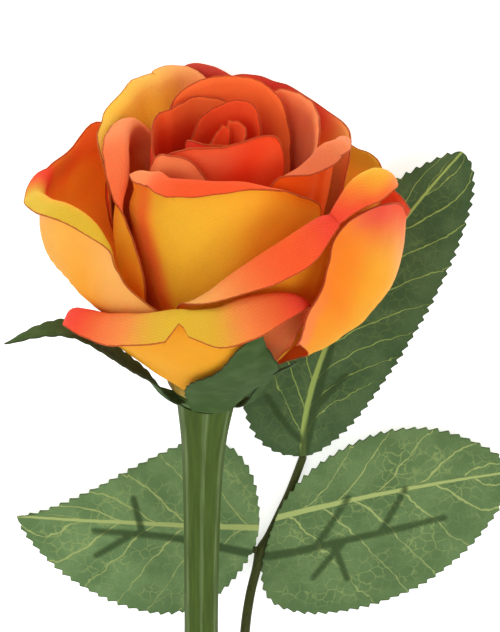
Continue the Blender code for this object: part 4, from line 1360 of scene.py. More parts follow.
MIDDLE = (
    Petal("middle_front", WALL_MIDDLE, (0, 4.4), (
        (-56, 18, 0.5), (-62, 38, 0.5), (-64, 46, 0.6), (-62, 49.8, 2.5), (-56, 51.8, 4.6),
        (-46, 53.2, 5.6), (-36, 54.4, 5.8), (-16.5, 56.2, 5.4), (3.5, 57, 4), (22, 55.3, 2.4),
        (37, 52.3, 1.4), (50, 49.5, 0.9), (58, 47, 0.6), (60, 43, 0.5), (60, 30, 0.5), (56, 16, 0.5)),
        turn=150, bend=1.3, left=-1.5, under=("middle_left", "outer_band", "outer_front"),
        dye_and_shade=DyeAndShade(face=YELLOW, lining=ORANGE, margin=GOLD, lip=CORAL, lip_depth=12, foot=YELLOW, washes=(
            Wash(PINK, (-54, 4), (20, 12), 1.0, Face.INNER),
            Wash(PEACH, (44, 2), (18, 8), 0.9, Face.INNER),
            # painted shadow: the shade that middle_left casts on the left of this petal's outer face
            Wash(CORAL, (-58, 22), (10, 26), 0.9, Face.OUTER),
            Wash(AMBER, (-24, 40), (30, 18), 0.8, Face.OUTER),
            Wash(ORANGE, (40, 14), (26, 20), 0.5, Face.OUTER)))),
    Petal("middle_left", WALL_MIDDLE_LEFT, (-98, 4.4), (
        (-140, 20, 0.5), (-142, 40, 0.5), (-132, 49, 2), (-112, 53.5, 4), (-95, 54.2, 5.5),
        (-80, 53, 6), (-72, 50.5, 5.5), (-69, 47, 4), (-66, 44.2, 2.5), (-58, 42, 1), (-49, 39.9, 0.6),
        (-43, 35.5, 0.5), (-40.5, 31, 0.5), (-43, 24, 0.5), (-50, 14, 0.5)),
        turn=120, bend=1.2, left=-1, belly=-1.5, under=("middle_back_left", "outer_left"),
        dye_and_shade=DyeAndShade(face=ORANGE, lining=EMBER, margin=GOLD, lip=PINK, lip_depth=9, foot=GOLD, washes=(
            Wash(YELLOW, (-54, 10), (14, 30), 1.0, Face.OUTER),
            Wash(CORAL, (-74, 2), (14, 5), 0.5, Face.INNER),
            # painted shade: the inner face darkens as it goes down inside the cup
            Wash(RED, (-92, 16), (26, 8), 0.7, Face.INNER)))),
    Petal("middle_back_left", WALL_MIDDLE_BACK, (-130, 4.4), (
        (-178, 18, 0.5), (-180, 36, 0.5), (-177, 49, 1), (-168, 55.6, 3), (-157, 58.4, 4),
        (-144, 58.2, 4), (-130, 56, 3.6), (-113, 53.6, 3.5), (-88, 50, 2.2), (-80, 42, 1),
        (-80, 20, 0.5)),
        turn=80, bend=2, under=("middle_back", "middle_back_right", "outer_left", "outer_back_left"),
        dye_and_shade=DyeAndShade(face=PEACH, lining=STRAW, lip=PEACH, lip_depth=6, washes=(
            Wash(PINK, (-168, 2), (15, 8), 0.9),
            Wash(STRAW, (-112, 4), (32, 12), 0.8),))),
    Petal("middle_back", WALL_MIDDLE_BACK, (-174, 4.4), (
        (-198, 20, 0.5), (-200, 34, 0.5), (-198, 50, 1), (-188, 54.5, 1.5), (-180, 56.2, 2),
        (-171, 57.8, 2), (-162, 58, 2), (-152, 54, 1), (-147, 44, 0.5), (-148, 20, 0.5)),
        turn=60, bend=2, belly=1.5, under=("outer_back_left", "outer_back_right"),
        dye_and_shade=DyeAndShade(face=CORAL, lining=RED, lip=WINE, lip_depth=7)),
    Petal("middle_back_right", WALL_MIDDLE_BACK, (140, 4.4), (
        (88, 20, 0.5), (85, 40, 0.5), (88, 49, 0.8), (94, 53, 1.2), (104, 55.4, 1.5), (124, 55.2, 1.5),
        (138, 55.8, 1.5), (150, 56.8, 1.5), (160, 57.8, 1.5), (169, 57.6, 1.5), (177, 57, 1.2),
        (185, 54, 0.8), (190, 40, 0.5), (188, 20, 0.5)),
        turn=60, bend=3, left=0.5, right=-1.5,
        under=("middle_back", "outer_back_right", "outer_band", "outer_right"),
        dye_and_shade=DyeAndShade(face=ORANGE, lining=ORANGE, lip=RED, lip_depth=6, washes=(
            Wash(WINE, (146, 2), (30, 4), 0.8),
            Wash(PEACH, (100, 5), (20, 14), 1.0)))),
    Petal("middle_right", WALL_MIDDLE, (60, 4.4), (
        (20, 22, 0.5), (18, 44, 0.5), (20, 50, 0.5), (25, 53.8, 0.8), (30, 56, 1.5), (36, 57.3, 3),
        (42, 58.2, 4.6), (52, 59.6, 5.8), (62, 60.2, 5.6), (72, 59.8, 4.8), (82, 58, 3.6), (91, 55, 2),
        (100, 47, 1), (102, 28, 0.5), (98, 18, 0.5)),
        turn=120, bend=1.4, left=-2.5, right=-1, belly=-1,
        under=("middle_front", "middle_back_right", "outer_band"),
        dye_and_shade=DyeAndShade(face=EMBER, lining=EMBER, margin=EMBER, lip=ROSE, lip_depth=11, washes=(
            Wash(PINK, (76, 2), (18, 7), 0.7, Face.INNER),))),
)
INNER = (
    Petal("inner_right", WALL_INNER_WIDE, (100, 6.5), (
        (56, 24, 0.5), (58, 42, 0.5), (64, 50, 0.8), (74, 54.5, 1), (84, 57, 1.2), (98, 58.9, 1.4),
        (116, 60, 1.4), (133, 59.8, 1.2), (146, 58.8, 1), (152, 54, 0.6), (153, 44, 0.5), (150, 24, 0.5)),
        turn=90, bend=1.5, left=1, under=("middle_right", "middle_back_right"),
        dye_and_shade=DyeAndShade(face=ORANGE, lining=ROSE, lip=PINK, lip_depth=3, washes=(
            Wash(PINK, (68, 7), (18, 14), 1.0, Face.INNER),))),
    Petal("inner_back", WALL_INNER, (-198, 6.5), (
        (-246, 24, 0.5), (-246, 40, 0.5), (-242, 48.5, 0.6), (-238, 53, 0.8), (-229, 57, 1.2),
        (-219, 59.5, 1.4), (-204, 61, 1.6), (-186, 61.2, 1.6), (-168, 60.8, 1.6), (-150, 59.6, 1.4),
        (-135, 57.5, 1), (-126, 53, 0.6), (-124, 40, 0.5), (-126, 24, 0.5)),
        turn=80, bend=2, belly=-0.5, under=("inner_right", "middle_back"),
        dye_and_shade=DyeAndShade(face=RED, lining=RED, lip=FLAME, lip_depth=10)),
    Petal("inner_left", WALL_INNER, (-125, 6.5), (
        (-180, 24, 0.5), (-184, 44, 0.5), (-182, 54.5, 0.5), (-176, 56.8, 0.6), (-164, 57.5, 0.6),
        (-148, 58, 0.7), (-137, 57.4, 0.7), (-125, 57.1, 0.7), (-107, 55.6, 0.7), (-92, 54.8, 0.7),
        (-80, 53, 0.6), (-72, 48, 0.5), (-70, 24, 0.5)),
        turn=80, bend=2, under=("inner_back", "inner_front_left", "middle_left"),
        dye_and_shade=DyeAndShade(face=RED, lining=DEEP, lip=FLAME, lip_depth=6, washes=(
            # painted shade on the inner face below the lip, deep inside the ring
            Wash(DEEP, (-110, 10), (44, 9), 0.9, Face.INNER),))),
    Petal("inner_front", WALL_INNER, (0, 6.5), (
        (-62, 24, 0.5), (-62, 44, 0.5), (-58, 51, 0.5), (-50, 54.9, 0.6), (-34, 57.6, 0.7),
        (-20, 58.9, 0.8), (-7, 59.7, 0.9), (10, 61.4, 1.2), (22, 62.3, 1.4), (32, 62, 1.2),
        (40, 59.8, 0.8), (45, 56.5, 0.6), (48, 50, 0.5), (54, 24, 0.5)),
        turn=145, bend=1.1, belly=-0.5, under=("inner_front_left", "inner_right", "inner_left"),
        dye_and_shade=DyeAndShade(face=CORAL, lining=RED, margin=CORAL, washes=(
            # painted shadow: the dark middle of this petal's outer face
            Wash(DEEP, (12, 8), (19, 8), 0.95, Face.OUTER),
            Wash(ROSE, (-20, 3), (30, 4), 0.6, Face.OUTER)))),
    Petal("inner_front_left", WALL_INNER_WIDE, (-38, 6.5), (
        (-70, 24, 0.5), (-68, 44, 0.5), (-62, 50.5, 0.5), (-56, 53.6, 0.6), (-50, 55.6, 0.7),
        (-37, 56.9, 0.8), (-27, 56.9, 0.8), (-21, 55.5, 0.7), (-14, 53.5, 0.6), (-8, 50, 0.5),
        (-4, 42, 0.5), (-6, 24, 0.5)),
        turn=140, bend=1.1, belly=-0.8, under=("middle_front", "middle_left"),
        dye_and_shade=DyeAndShade(face=CORAL, lining=RED, margin=PINK, depth=6)),
)
HEART = (
    Petal("heart_arch", WALL_HEART, (-185, 8.6), (
        (-250, 26, 0.5), (-246, 44, 0.5), (-236, 53, 0.5), (-229, 56.8, 0.6), (-218, 59.1, 0.7),
        (-204, 59.5, 0.7), (-187, 59.1, 0.7), (-172, 58, 0.7), (-151.5, 56.6, 0.7), (-135, 54.3, 0.6),
        (-123, 51.8, 0.6), (-112, 49.5, 0.5), (-103, 44, 0.5), (-100, 26, 0.5)),
        turn=70, bend=1.5, belly=0.4, under=("inner_back", "inner_left", "inner_right"),
        dye_and_shade=DyeAndShade(face=RED, lining=DEEP, lip=CORAL, lip_depth=4)),
    Petal("heart_front", WALL_HEART, (0, 8.6), (
        (-84, 26, 0.5), (-86, 46, 0.5), (-82, 53.6, 0.5), (-66, 55.3, 0.6), (-51, 55.8, 0.7),
        (-23, 56.2, 0.8), (1, 56.3, 0.8), (30, 55.5, 0.7), (56, 52, 0.5), (66, 40, 0.5), (66, 26, 0.5)),
        turn=90, bend=1, belly=-0.6, under=("heart_arch", "inner_front"),
        # the crimson face is the dye darkened by painted shade of the bloom's middle
        dye_and_shade=DyeAndShade(face=SHADED_CRIMSON, lining=DEEP, margin=RED, depth=3)),
    Petal("heart_bud", WALL_BUD, (0, 8.6), (
        (-175, 26, 0.5), (-172, 54, 0.5), (-150, 55.6, 0.5), (-111, 53.8, 0.5), (-60, 53.6, 0.6),
        (-26, 54.3, 0.6), (20, 54.7, 0.6), (68, 55.2, 0.6), (93, 56, 0.6), (130, 56.8, 0.6),
        (160, 56.6, 0.5), (172, 54, 0.5), (175, 26, 0.5)),
        turn=60, bend=1, left=-1.2, right=1, under=("heart_arch", "heart_front"),
        dye_and_shade=DyeAndShade(face=DEEP, lining=DEEP, margin=RED, depth=1.5)),
)
PETALS = {petal.name: petal for petal in OUTER + MIDDLE + INNER + HEART}


def turned(name: str, profile: Sequence, sides: int) -> Surface:
    """Turn an outline round the stem's axis into a plain solid.

    Args:
        name: Name of the piece.
        profile: (radius, height) points in the upright frame, mm.
        sides: Number of sides.

    Returns:
        The solid in the row frame, with what moulded plastic reads.
    """
    angles = np.linspace(0, 2 * math.pi, sides, endpoint=False)
    rings = [[(r * math.sin(a), -r * math.cos(a), z) for a in angles] for r, z in profile]
    points = np.vstack([[[0.0, 0.0, profile[0][1]]], *rings, [[0.0, 0.0, profile[-1][1]]]])
    surface = Surface(name, POSE.solid(points), ring_faces(len(profile), sides))
    surface.numbers["along"] = surface.points / MM
    surface.numbers["ridge_highlight"] = np.zeros(len(points))
    return surface


@dataclass(frozen=True)
class Bloom:
    """The bloom: its whorls of petals, each round a moulded hub on the stem's peg."""

    whorls: tuple[tuple[Whorl, tuple[Petal, ...], tuple[float, float, float]], ...] = (
        (Whorl.OUTER, OUTER, (8.2, 0.0, 2.9)),
        (Whorl.MIDDLE, MIDDLE, (7.8, 3.2, 5.2)),
        (Whorl.INNER, INNER, (7.2, 5.5, 7.3)),
        (Whorl.HEART, HEART, (5.2, 7.6, 9.6)),
    )

    def hub(self, whorl: Whorl, size: tuple[float, float, float], material: bpy.types.Material) -> None:
        """Build a whorl's hub, a disc with a rounded rim.

        Args:
            whorl: The whorl.
            size: Radius, lower and upper height, mm.
            material: Finish of the hub.
        """
        radius, low, high = size
        middle, half = (low + high) / 2, (high - low) / 2
        curve = [(radius - half + half * math.cos(t), middle + half * math.sin(t))
                 for t in np.linspace(-math.pi / 2, math.pi / 2, 9)]
        surface = turned(whorl.called("hub"), [(BORE, low)] + curve + [(BORE, high)], HUB_SIDES)
        surface.build(material, whorl.value, whorl.slot())

    def build(self) -> None:
        """Build the hubs and petals of every whorl."""
        plastic = MouldedPlastic("hub_plastic", (0.45, 0.30, 0.06), (0.5, 0.34, 0.08)).material()
        threads = LooseThreads()
        growth, loose = threads.tree(), threads.material()
        for whorl, petals, size in self.whorls:
            cloth = PetalCloth(whorl.slot()).material()
            self.hub(whorl, size, plastic)
            edges = [petal.build(cloth, whorl) for petal in petals]
            threads.build(edges, whorl.called("threads"), whorl.value, whorl.slot(), growth, loose)


@dataclass(frozen=True)
class Sepal:
    """A sepal as a run of (azimuth, radius, height, half width) points, in degrees and mm.

    teeth is how far its margin's teeth stand out, as a share of the half width, fold how far its middle
    does, and clear the room that it leaves to the petals, mm.
    """

    name: str
    run: tuple
    teeth: float = 0.06
    fold: float = 0.35
    clear: float = 1.5
    rows: int = 33
    columns: int = 90
    thickness: float = 0.32

    def clear_radius(self, radius: np.ndarray, azimuth: np.ndarray, height: np.ndarray) -> np.ndarray:
        """Keep a radius clear of the outer petals.

        Args:
            radius: Radius wanted at each point, mm.
            azimuth: Azimuths, degrees.
            height: Heights, mm.

        Returns:
            The radius, widened where a petal is in the way.
        """
        for petal in OUTER:
            fade = smooth((petal.off_side(azimuth) - 3.0) / 12.0)
            wall = petal.radius(azimuth, height) + self.clear - 12.0 * fade
            radius = np.maximum(radius, np.where(height < 1.0, radius, wall))
        return radius

    def build(self, material: bpy.types.Material) -> bpy.types.Object:
        """Build the sepal and dress it.

        Args:
            material: Finish of the sepals.

        Returns:
            The finished sepal.
        """
        line = through(self.run, self.columns)
        across = np.linspace(-1, 1, self.rows)
        teeth = self.teeth * np.abs(np.sin(np.arange(self.columns) * 0.55)) * (line[:, 3] > 0.6)
        grid = np.zeros((self.rows, self.columns, 3))
        run = run_along(line[:, 1:3])
        half = line[:, 3] * (1 + teeth)
        for i, u in enumerate(across):
            azimuth = line[:, 0] + np.degrees(half * u / np.maximum(line[:, 1], 5.0))
            radius = self.clear_radius(line[:, 1], azimuth, line[:, 2])
            radius = radius + self.fold * (1 - abs(u)) * smooth(run / 8.0)
            grid[i] = round_axis(radius, np.radians(azimuth), line[:, 2])
        seed = len(self.name) * 7
        wave = ripple(grid[..., 0] + 40, grid[..., 2], 9.0, seed) * 0.15
        grid = grid + grid_normals(grid) * wave[..., None]
        beside = half[None, :] * (1 - np.abs(across[:, None]))
        cloth = np.stack([half[None, :] * across[:, None], run[None, :] + 0 * beside, 0 * beside], -1)
        edge = np.minimum(beside, (run[-1] - run)[None, :])
        surface = thick_sheet("sepal_" + self.name, POSE.sheet(grid, self.thickness), self.thickness,
                              {"cloth": cloth, "edge": edge})
        return surface.build(material, "calyx", "sepal_fabric")


@dataclass(frozen=True)
class Calyx:
    """The calyx: a small cup on the stem with five sepals."""

    hub: tuple[float, float, float] = (6.4, -2.9, -0.3)
    sepals: tuple[Sepal, ...] = (
        Sepal("left", ((-66, 4, -1.6, 2.2), (-66, 8.9, -1.0, 2.8), (-69, 13.5, 4.2, 3.4), (-73, 21, 9.9, 4.6),
                       (-74, 28, 14.8, 3.6), (-75, 34, 15.4, 2.2), (-76, 41.5, 12.4, 0.3)), teeth=0.24),
        Sepal("front", ((4, 4, -1.6, 2.6), (5, 9, -1.0, 3.6), (8, 11, 2.0, 5.2), (10.5, 13.5, 5.6, 7.0),
                        (13, 18.5, 10.6, 7.6), (16, 23.6, 16.6, 5.4), (14.5, 27.8, 23.4, 3.0),
                        (15.5, 30, 28.6, 0.3))),
        Sepal("right", ((66, 4, -1.6, 2.2), (62, 9, -1.0, 2.2), (53, 13.5, 5.4, 2.2), (44, 18, 11.4, 1.9),
                        (37, 23, 16.4, 1.2), (30, 29, 21.5, 0.3))),
        Sepal("back_right", ((170, 4, -1.6, 2.6), (170, 9, -1.0, 3.6), (170, 16, 5.6, 4.8),
                             (170, 21.5, 12, 4.2), (170, 26, 17.6, 2.4), (170, 28, 20.6, 0.3))),
        Sepal("back_left", ((-144, 4, -1.6, 2.6), (-144, 9, -1.0, 3.6), (-144, 17, 5.4, 4.8),
                            (-144, 26, 13.2, 4.4), (-144, 31.6, 21.6, 2.4), (-144, 34, 27, 0.3))),
    )

    def build(self) -> None:
        """Build the cup and the sepals."""
        cloth = SepalCloth("sepal_fabric").material()
        for sepal in self.sepals:
            sepal.build(cloth)
        radius, low, high = self.hub
        profile = [(BORE, low), (radius - 0.8, low), (radius - 0.2, low + 0.3), (radius, low + 1.1),
                   (radius - 0.2, high - 0.3), (radius - 0.8, high), (BORE, high)]
        plastic = MouldedPlastic("cup_plastic", (0.07, 0.12, 0.03), (0.1, 0.16, 0.05)).material()
        turned("calyx_cup", profile, HUB_SIDES).build(plastic, "calyx", "sepal_fabric")


@dataclass(frozen=True)
class Stem:
    """The moulded stem: (radius, height) points of its cut end, outline and peg, with ridges along it.

    depth is how far the ridges stand out, as a share of the radius, and girth the radius, mm, at which
    the streaks of its plastic are laid out.
    """

    ridges: int = 7
    depth: float = 0.055
    girth: float = 3.8
    cut_end: tuple = ((3.3, -200.0), (3.6, -199.75))
    outline: tuple = ((3.75, -199), (3.7, -160), (3.75, -115), (3.8, -104), (4.7, -98), (4.9, -94),
                      (4.2, -89), (3.5, -78), (3.55, -40), (4.1, -20), (4.6, -12), (5.6, -5), (5.9, -3.2))
    peg: tuple = ((1.2, -3.15), (1.2, 7.0), (0.9, 7.2))
    sides: int = 105
    rings: int = 240

    def build(self) -> bpy.types.Object:
        """Build the stem with its cut end and its peg.

        Returns:
            The finished stem.
        """
        line = np.vstack([self.cut_end, through(self.outline, self.rings)[1:]])
        angles = np.linspace(0, 2 * math.pi, self.sides, endpoint=False)
        wave = np.abs(np.cos(angles * self.ridges / 2))
        rows = []
        for k, (radius, height) in enumerate(line):
            ease = float(smooth((k + 1) / 5.0))
            uneven = 0.06 * ripple(np.array([height]), np.array([0.0]), 34.0, 5)[0]
            r = radius * (1 + uneven * 0.3) + self.depth * radius * (wave - 0.6) * ease
            rows.append(round_axis(r, angles, height))
        rows += [round_axis(r, angles, z) for r, z in self.peg]
        points = np.vstack([[[0, 0, self.cut_end[0][1]]], *rows, [[0, 0, self.peg[-1][1]]]])
        # where the painted highlight lies: on the tops of the ridges
        ridge_highlight = np.concatenate([[0.0]] + [1 - smooth((1 - wave) / 0.12)] * len(rows) + [[0.0]])
        around = np.concatenate([[0.0]] + [angles * self.girth] * len(rows) + [[0.0]])
        surface = Surface("stem", POSE.solid(points), ring_faces(len(rows), self.sides))
        surface.numbers["ridge_highlight"] = ridge_highlight
        surface.numbers["along"] = np.stack([around, points[:, 2], 0 * around], 1)
        plastic = MouldedPlastic("stem_plastic", (0.058, 0.098, 0.016), (0.125, 0.18, 0.062), 0.6)
        return surface.build(plastic.material(), "stem", "stem_plastic")


@dataclass(frozen=True)
class Leaflet:
    """A leaflet above the floor: (x, y, height) of base, middle of the midrib and tip, in mm.

    half, shape and back are its half widths, the powers of its outline towards base and tip, and how far
    its base corners sweep back, for the left and right side. veins gives, for each side, the shares of
    the midrib where a side vein leaves it, and sweep how far the veins run towards the tip. keel and roll
    raise both margins and the right side, and wave is the height of its ripples. tooth is the spacing of
    its teeth, mm, and tooth_size how far they stand out.
    """

    name: str
    base: tuple[float, float, float]
    middle: tuple[float, float, float]
    tip: tuple[float, float, float]
    half: tuple[float, float]
    shape: tuple[tuple[float, float], tuple[float, float]]
    cloth: LeafCloth
    slot: str
    veins: tuple[tuple[float, ...], tuple[float, ...]]
    back: tuple[float, float] = (0.0, 0.0)
    sweep: float = 0.34
    keel: float = 0.06
    roll: float = 0.0
    wave: float = 0.6
    tooth: float = 2.3
    tooth_size: float = 0.7
    thickness: float = 0.3
    rows: int = 300
    columns: int = 25

    def outline(self, share: np.ndarray, side: np.ndarray) -> np.ndarray:
        """Outline of the leaflet.

        Args:
            share: Share of the length.
            side: Less than 0 on the left.

        Returns:
            Share of the half width that the side reaches, 1 where it is widest.
        """
        out = []
        for at_base, at_tip in self.shape:
            peak = at_base / (at_base + at_tip)
            out.append((share / peak) ** at_base * ((1 - share) / (1 - peak)) ** at_tip)
        return np.where(side < 0, out[0], out[1])

    def point(self, share: np.ndarray, side: np.ndarray) -> np.ndarray:
        """Find points of the leaflet.

        Args:
            share: Share of the length.
            side: From -1 at the left margin to 1 at the right.

        Returns:
            The points as they lie, mm.
        """
        share, side = np.broadcast_arrays(np.asarray(share, float), np.asarray(side, float))
        base, middle, tip = (np.array(p, float) for p in (self.base, self.middle, self.tip))
        s = share[..., None]
        control = 2 * middle - (base + tip) / 2
        spine = (1 - s) ** 2 * base + 2 * s * (1 - s) * control + s ** 2 * tip
        ahead = 2 * (1 - s) * (control - base) + 2 * s * (tip - control)
        flat = unit(ahead[..., :2])
        outline = self.outline(np.clip(share, 0.0, 1.0), side)
        half = np.where(side < 0, self.half[0], self.half[1]) * np.maximum(outline, 0.004)
        swept = np.where(side < 0, self.back[0], self.back[1]) * np.abs(side) * half
        swept = swept * (1 - np.clip(share, 0.0, 1.0)) ** 5
        out = np.zeros_like(spine)
        out[..., 0] = flat[..., 1] * half * side - flat[..., 0] * swept
        out[..., 1] = -flat[..., 0] * half * side - flat[..., 1] * swept
        out[..., 2] = (self.keel * half * np.abs(side) + self.roll * side * outline
                       + self.wave * np.sin(share * 9.0 + side * 1.3) * np.abs(side) * outline)
        return spine + out

    def shares(self) -> np.ndarray:
        """Find the shares of the length that space the margins evenly.

        Returns:
            A share for each row of points.
        """
        fine = (1 - np.cos(np.linspace(0, math.pi, 2001))) / 2
        run = np.zeros(len(fine))
        for side in (-1.0, 1.0):
            run += run_along(self.point(fine, np.full(len(fine), side))[:, :2]) / 2
        return np.interp(np.linspace(0, run[-1], self.rows), run, fine)

    def build(self, ribs: Iterable[np.ndarray]) -> bpy.types.Object:
        """Build the leaflet and dress it.

        Args:
            ribs: Runs of the moulded ribs under it, whose shadow is painted on the cloth, in lying mm.

        Returns:
            The finished leaflet.
        """
        share = self.shares()
        half_columns = np.linspace(0, 1, self.columns) ** 0.85
        side = np.concatenate([-half_columns[::-1], half_columns[1:]])
        grid = self.point(share[None, :], side[:, None] + 0 * share[None, :])
        grid = self.toothed(grid, side)
        flat = grid.copy()
        grid[..., 2] += 0.12 * ripple(grid[..., 0], grid[..., 1], 11.0, len(self.name))
        reach = np.where(side < 0, self.half[0], self.half[1])[:, None]
        reach = reach * np.maximum(self.outline(share[None, :], side[:, None] + 0 * share[None, :]), 0.004)
        length = np.linalg.norm(np.diff(self.point(share, 0 * share), axis=0), axis=1).sum()
        margin = np.minimum(reach * (1 - np.abs(side[:, None])), length * (1 - share)[None, :] + 0.2)
        away = np.abs(side[:, None]) * reach
        phase, gap = self.vein_phase(share[None, :], side[:, None], length)
        numbers = {
            "cloth": np.concatenate([flat[..., :2], 0 * flat[..., :1]], -1),
            "edge": margin,
            "midrib": side[:, None] * reach,
            "midrib_width": np.broadcast_to(0.62 - 0.48 * share[None, :], reach.shape).copy(),
            "vein_phase": phase,
            "vein_gap": gap,
            "vein_width": np.clip(0.2 - 0.014 * away, 0.0, 0.3),
            "net": smooth(margin / 5.0),
            # distance to the ribs, for their painted shadow
            "rib": self.near(flat, ribs),
        }
        laid = POSE.placed(POSE.pressed(grid, self.thickness))
        surface = thick_sheet(self.name, laid, self.thickness, numbers)
        return surface.build(self.cloth.material(), self.name, self.slot)

    def toothed(self, grid: np.ndarray, side: np.ndarray) -> np.ndarray:
        """Cut the saw teeth, which point to the tip, into both margins.

        Args:
            grid: Points of the leaflet, mm.
            side: Side of each of its rows.

        Returns:
            The points with the teeth.
        """
        inside = 0.7
        out = grid.copy()
        for edge, rows in ((0, side < -inside), (-1, side > inside)):
            margin = grid[edge, :, :2]
            along = unit(np.gradient(margin, axis=0))
            outward = np.stack([along[:, 1], -along[:, 0]], 1) * (1 if edge else -1)
            run = run_along(margin)
            count = run[-1] / self.tooth
            at = (run / run[-1] * round(count)) % 1.0
            size = self.tooth_size * (1 + 0.35 * ripple(run, 0 * run, 9.0, 3))
            size = size * smooth(run / 5) * smooth((run[-1] - run) / 3)
            lift = (np.where(at < 0.8, (at / 0.8) ** 1.3, (1 - at) / 0.2) - 0.35) * size
            weight = smooth((np.abs(side[rows]) - inside) / 0.3)
            out[rows, :, :2] += weight[:, None, None] * (outward * lift[:, None])[None]
        return out

    def vein_phase(self, share: np.ndarray, side: np.ndarray,
                   length: float) -> tuple[np.ndarray, np.ndarray]:
        """Number that passes a whole one at each side vein, and its spacing in mm.

        Args:
            share: Share of the length at each point.
            side: Side coordinate at each point.
            length: Length of the midrib, mm.

        Returns:
            The phase and the mm between whole numbers.
        """
        start = share - self.sweep * np.abs(side) ** 0.8 * (1 - 0.25 * share)
        phase, gap = np.zeros(start.shape), np.ones(start.shape)
        for starts, here in zip(self.veins, (side < 0, side >= 0)):
            knots = np.array((-1.0, starts[0] - 0.14) + tuple(starts) + (starts[-1] + 0.2, 2.0))
            count = len(starts)
            ranks = np.array([-1.4, -0.5, *range(count), count - 0.5, count + 0.45])
            value = np.interp(start, knots, ranks)
            apart = np.diff(knots) / np.diff(ranks)
            spacing = np.interp(start, (knots[:-1] + knots[1:]) / 2, apart) * length
            phase, gap = np.where(here, value, phase), np.where(here, spacing, gap)
        return phase, gap * 0.8

    def near(self, points: np.ndarray, runs: Iterable[np.ndarray]) -> np.ndarray:
        """Measure how far the nearest rib is, as seen from above.

        Args:
            points: Points of the leaflet, mm.
            runs: Runs of the ribs, as (x, y, height, radius).

        Returns:
            Distance to the nearest rib's side, mm.
        """
        away = np.full(points.shape[:2], 9.0)
        for run in runs:
            for k in range(len(run) - 1):
                a, b = run[k, :2], run[k + 1, :2]
                t = np.clip(((points[..., :2] - a) @ (b - a)) / max(float((b - a) @ (b - a)), 1e-9), 0, 1)
                gap = np.linalg.norm(points[..., :2] - a - t[..., None] * (b - a), axis=-1)
                away = np.minimum(away, gap - run[k, 3])
        return away


LEAFLETS = (
    Leaflet("leaflet_left", (10.95, -42.3, 4.9), (-12.0, -41.6, 4.4), (-40.1, -40.6, 2.8), (21.3, 17.8),
            ((0.68, 0.78), (0.5, 1.5)), LeafCloth("left_leaf_cloth"), "left_leaf_fabric",
            ((0.06, 0.2, 0.34, 0.48, 0.62, 0.76), (0.03, 0.17, 0.33, 0.47, 0.61, 0.75)),
            keel=-0.13, roll=-1.6),
    Leaflet("leaflet_right", (14.5, -40.0, 4.9), (38.6, -34.1, 4.6), (64.3, -30.3, 2.6), (13.2, 27.0),
            ((0.9, 0.8), (0.3, 0.65)),
            LeafCloth("right_leaf_cloth", (0.098, 0.17, 0.062), (0.132, 0.215, 0.08)), "right_leaf_fabric",
            ((0.08, 0.24, 0.42, 0.6, 0.76), (0.05, 0.2, 0.34, 0.52, 0.68, 0.82)),
            back=(0.0, 0.6), keel=-0.11, roll=-0.6),
    Leaflet("leaflet_top", (20.05, -25.9, 4.6), (27.3, 5.1, 4.2), (51.1, 42.5, 8.0), (14.6, 15.0),
            ((0.4, 0.75), (0.6, 0.5)),
            LeafCloth("top_leaf_cloth", (0.05, 0.095, 0.035), (0.075, 0.13, 0.05), (0.30, 0.40, 0.10),
                      netted=0.14), "top_leaf_fabric",
            ((0.06, 0.16, 0.26, 0.38, 0.5, 0.62, 0.74, 0.86),
             (0.06, 0.16, 0.27, 0.38, 0.5, 0.62, 0.74, 0.86)),
            keel=0.0, roll=1.2),
)


@dataclass(frozen=True)
class Rib:
    """A moulded rib under a leaflet: (share, side) points, and its radius at the two ends, mm.

    A main rib starts at its anchor, a point of the stalk.
    """

    leaflet: str
    run: tuple
    start: float = 0.5
    end: float = 0.4
    anchor: tuple[float, float, float] | None = None


# Where the stalk's foot is in the collar, and where ribs leave it: (x, y, height) as it lies, mm.
STALK_FOOT, STALK_FORK, STALK_TIP = (4.75, -96.9, 15.8), (11.7, -49.1, 2.1), (20.1, -27.2, 2.3)


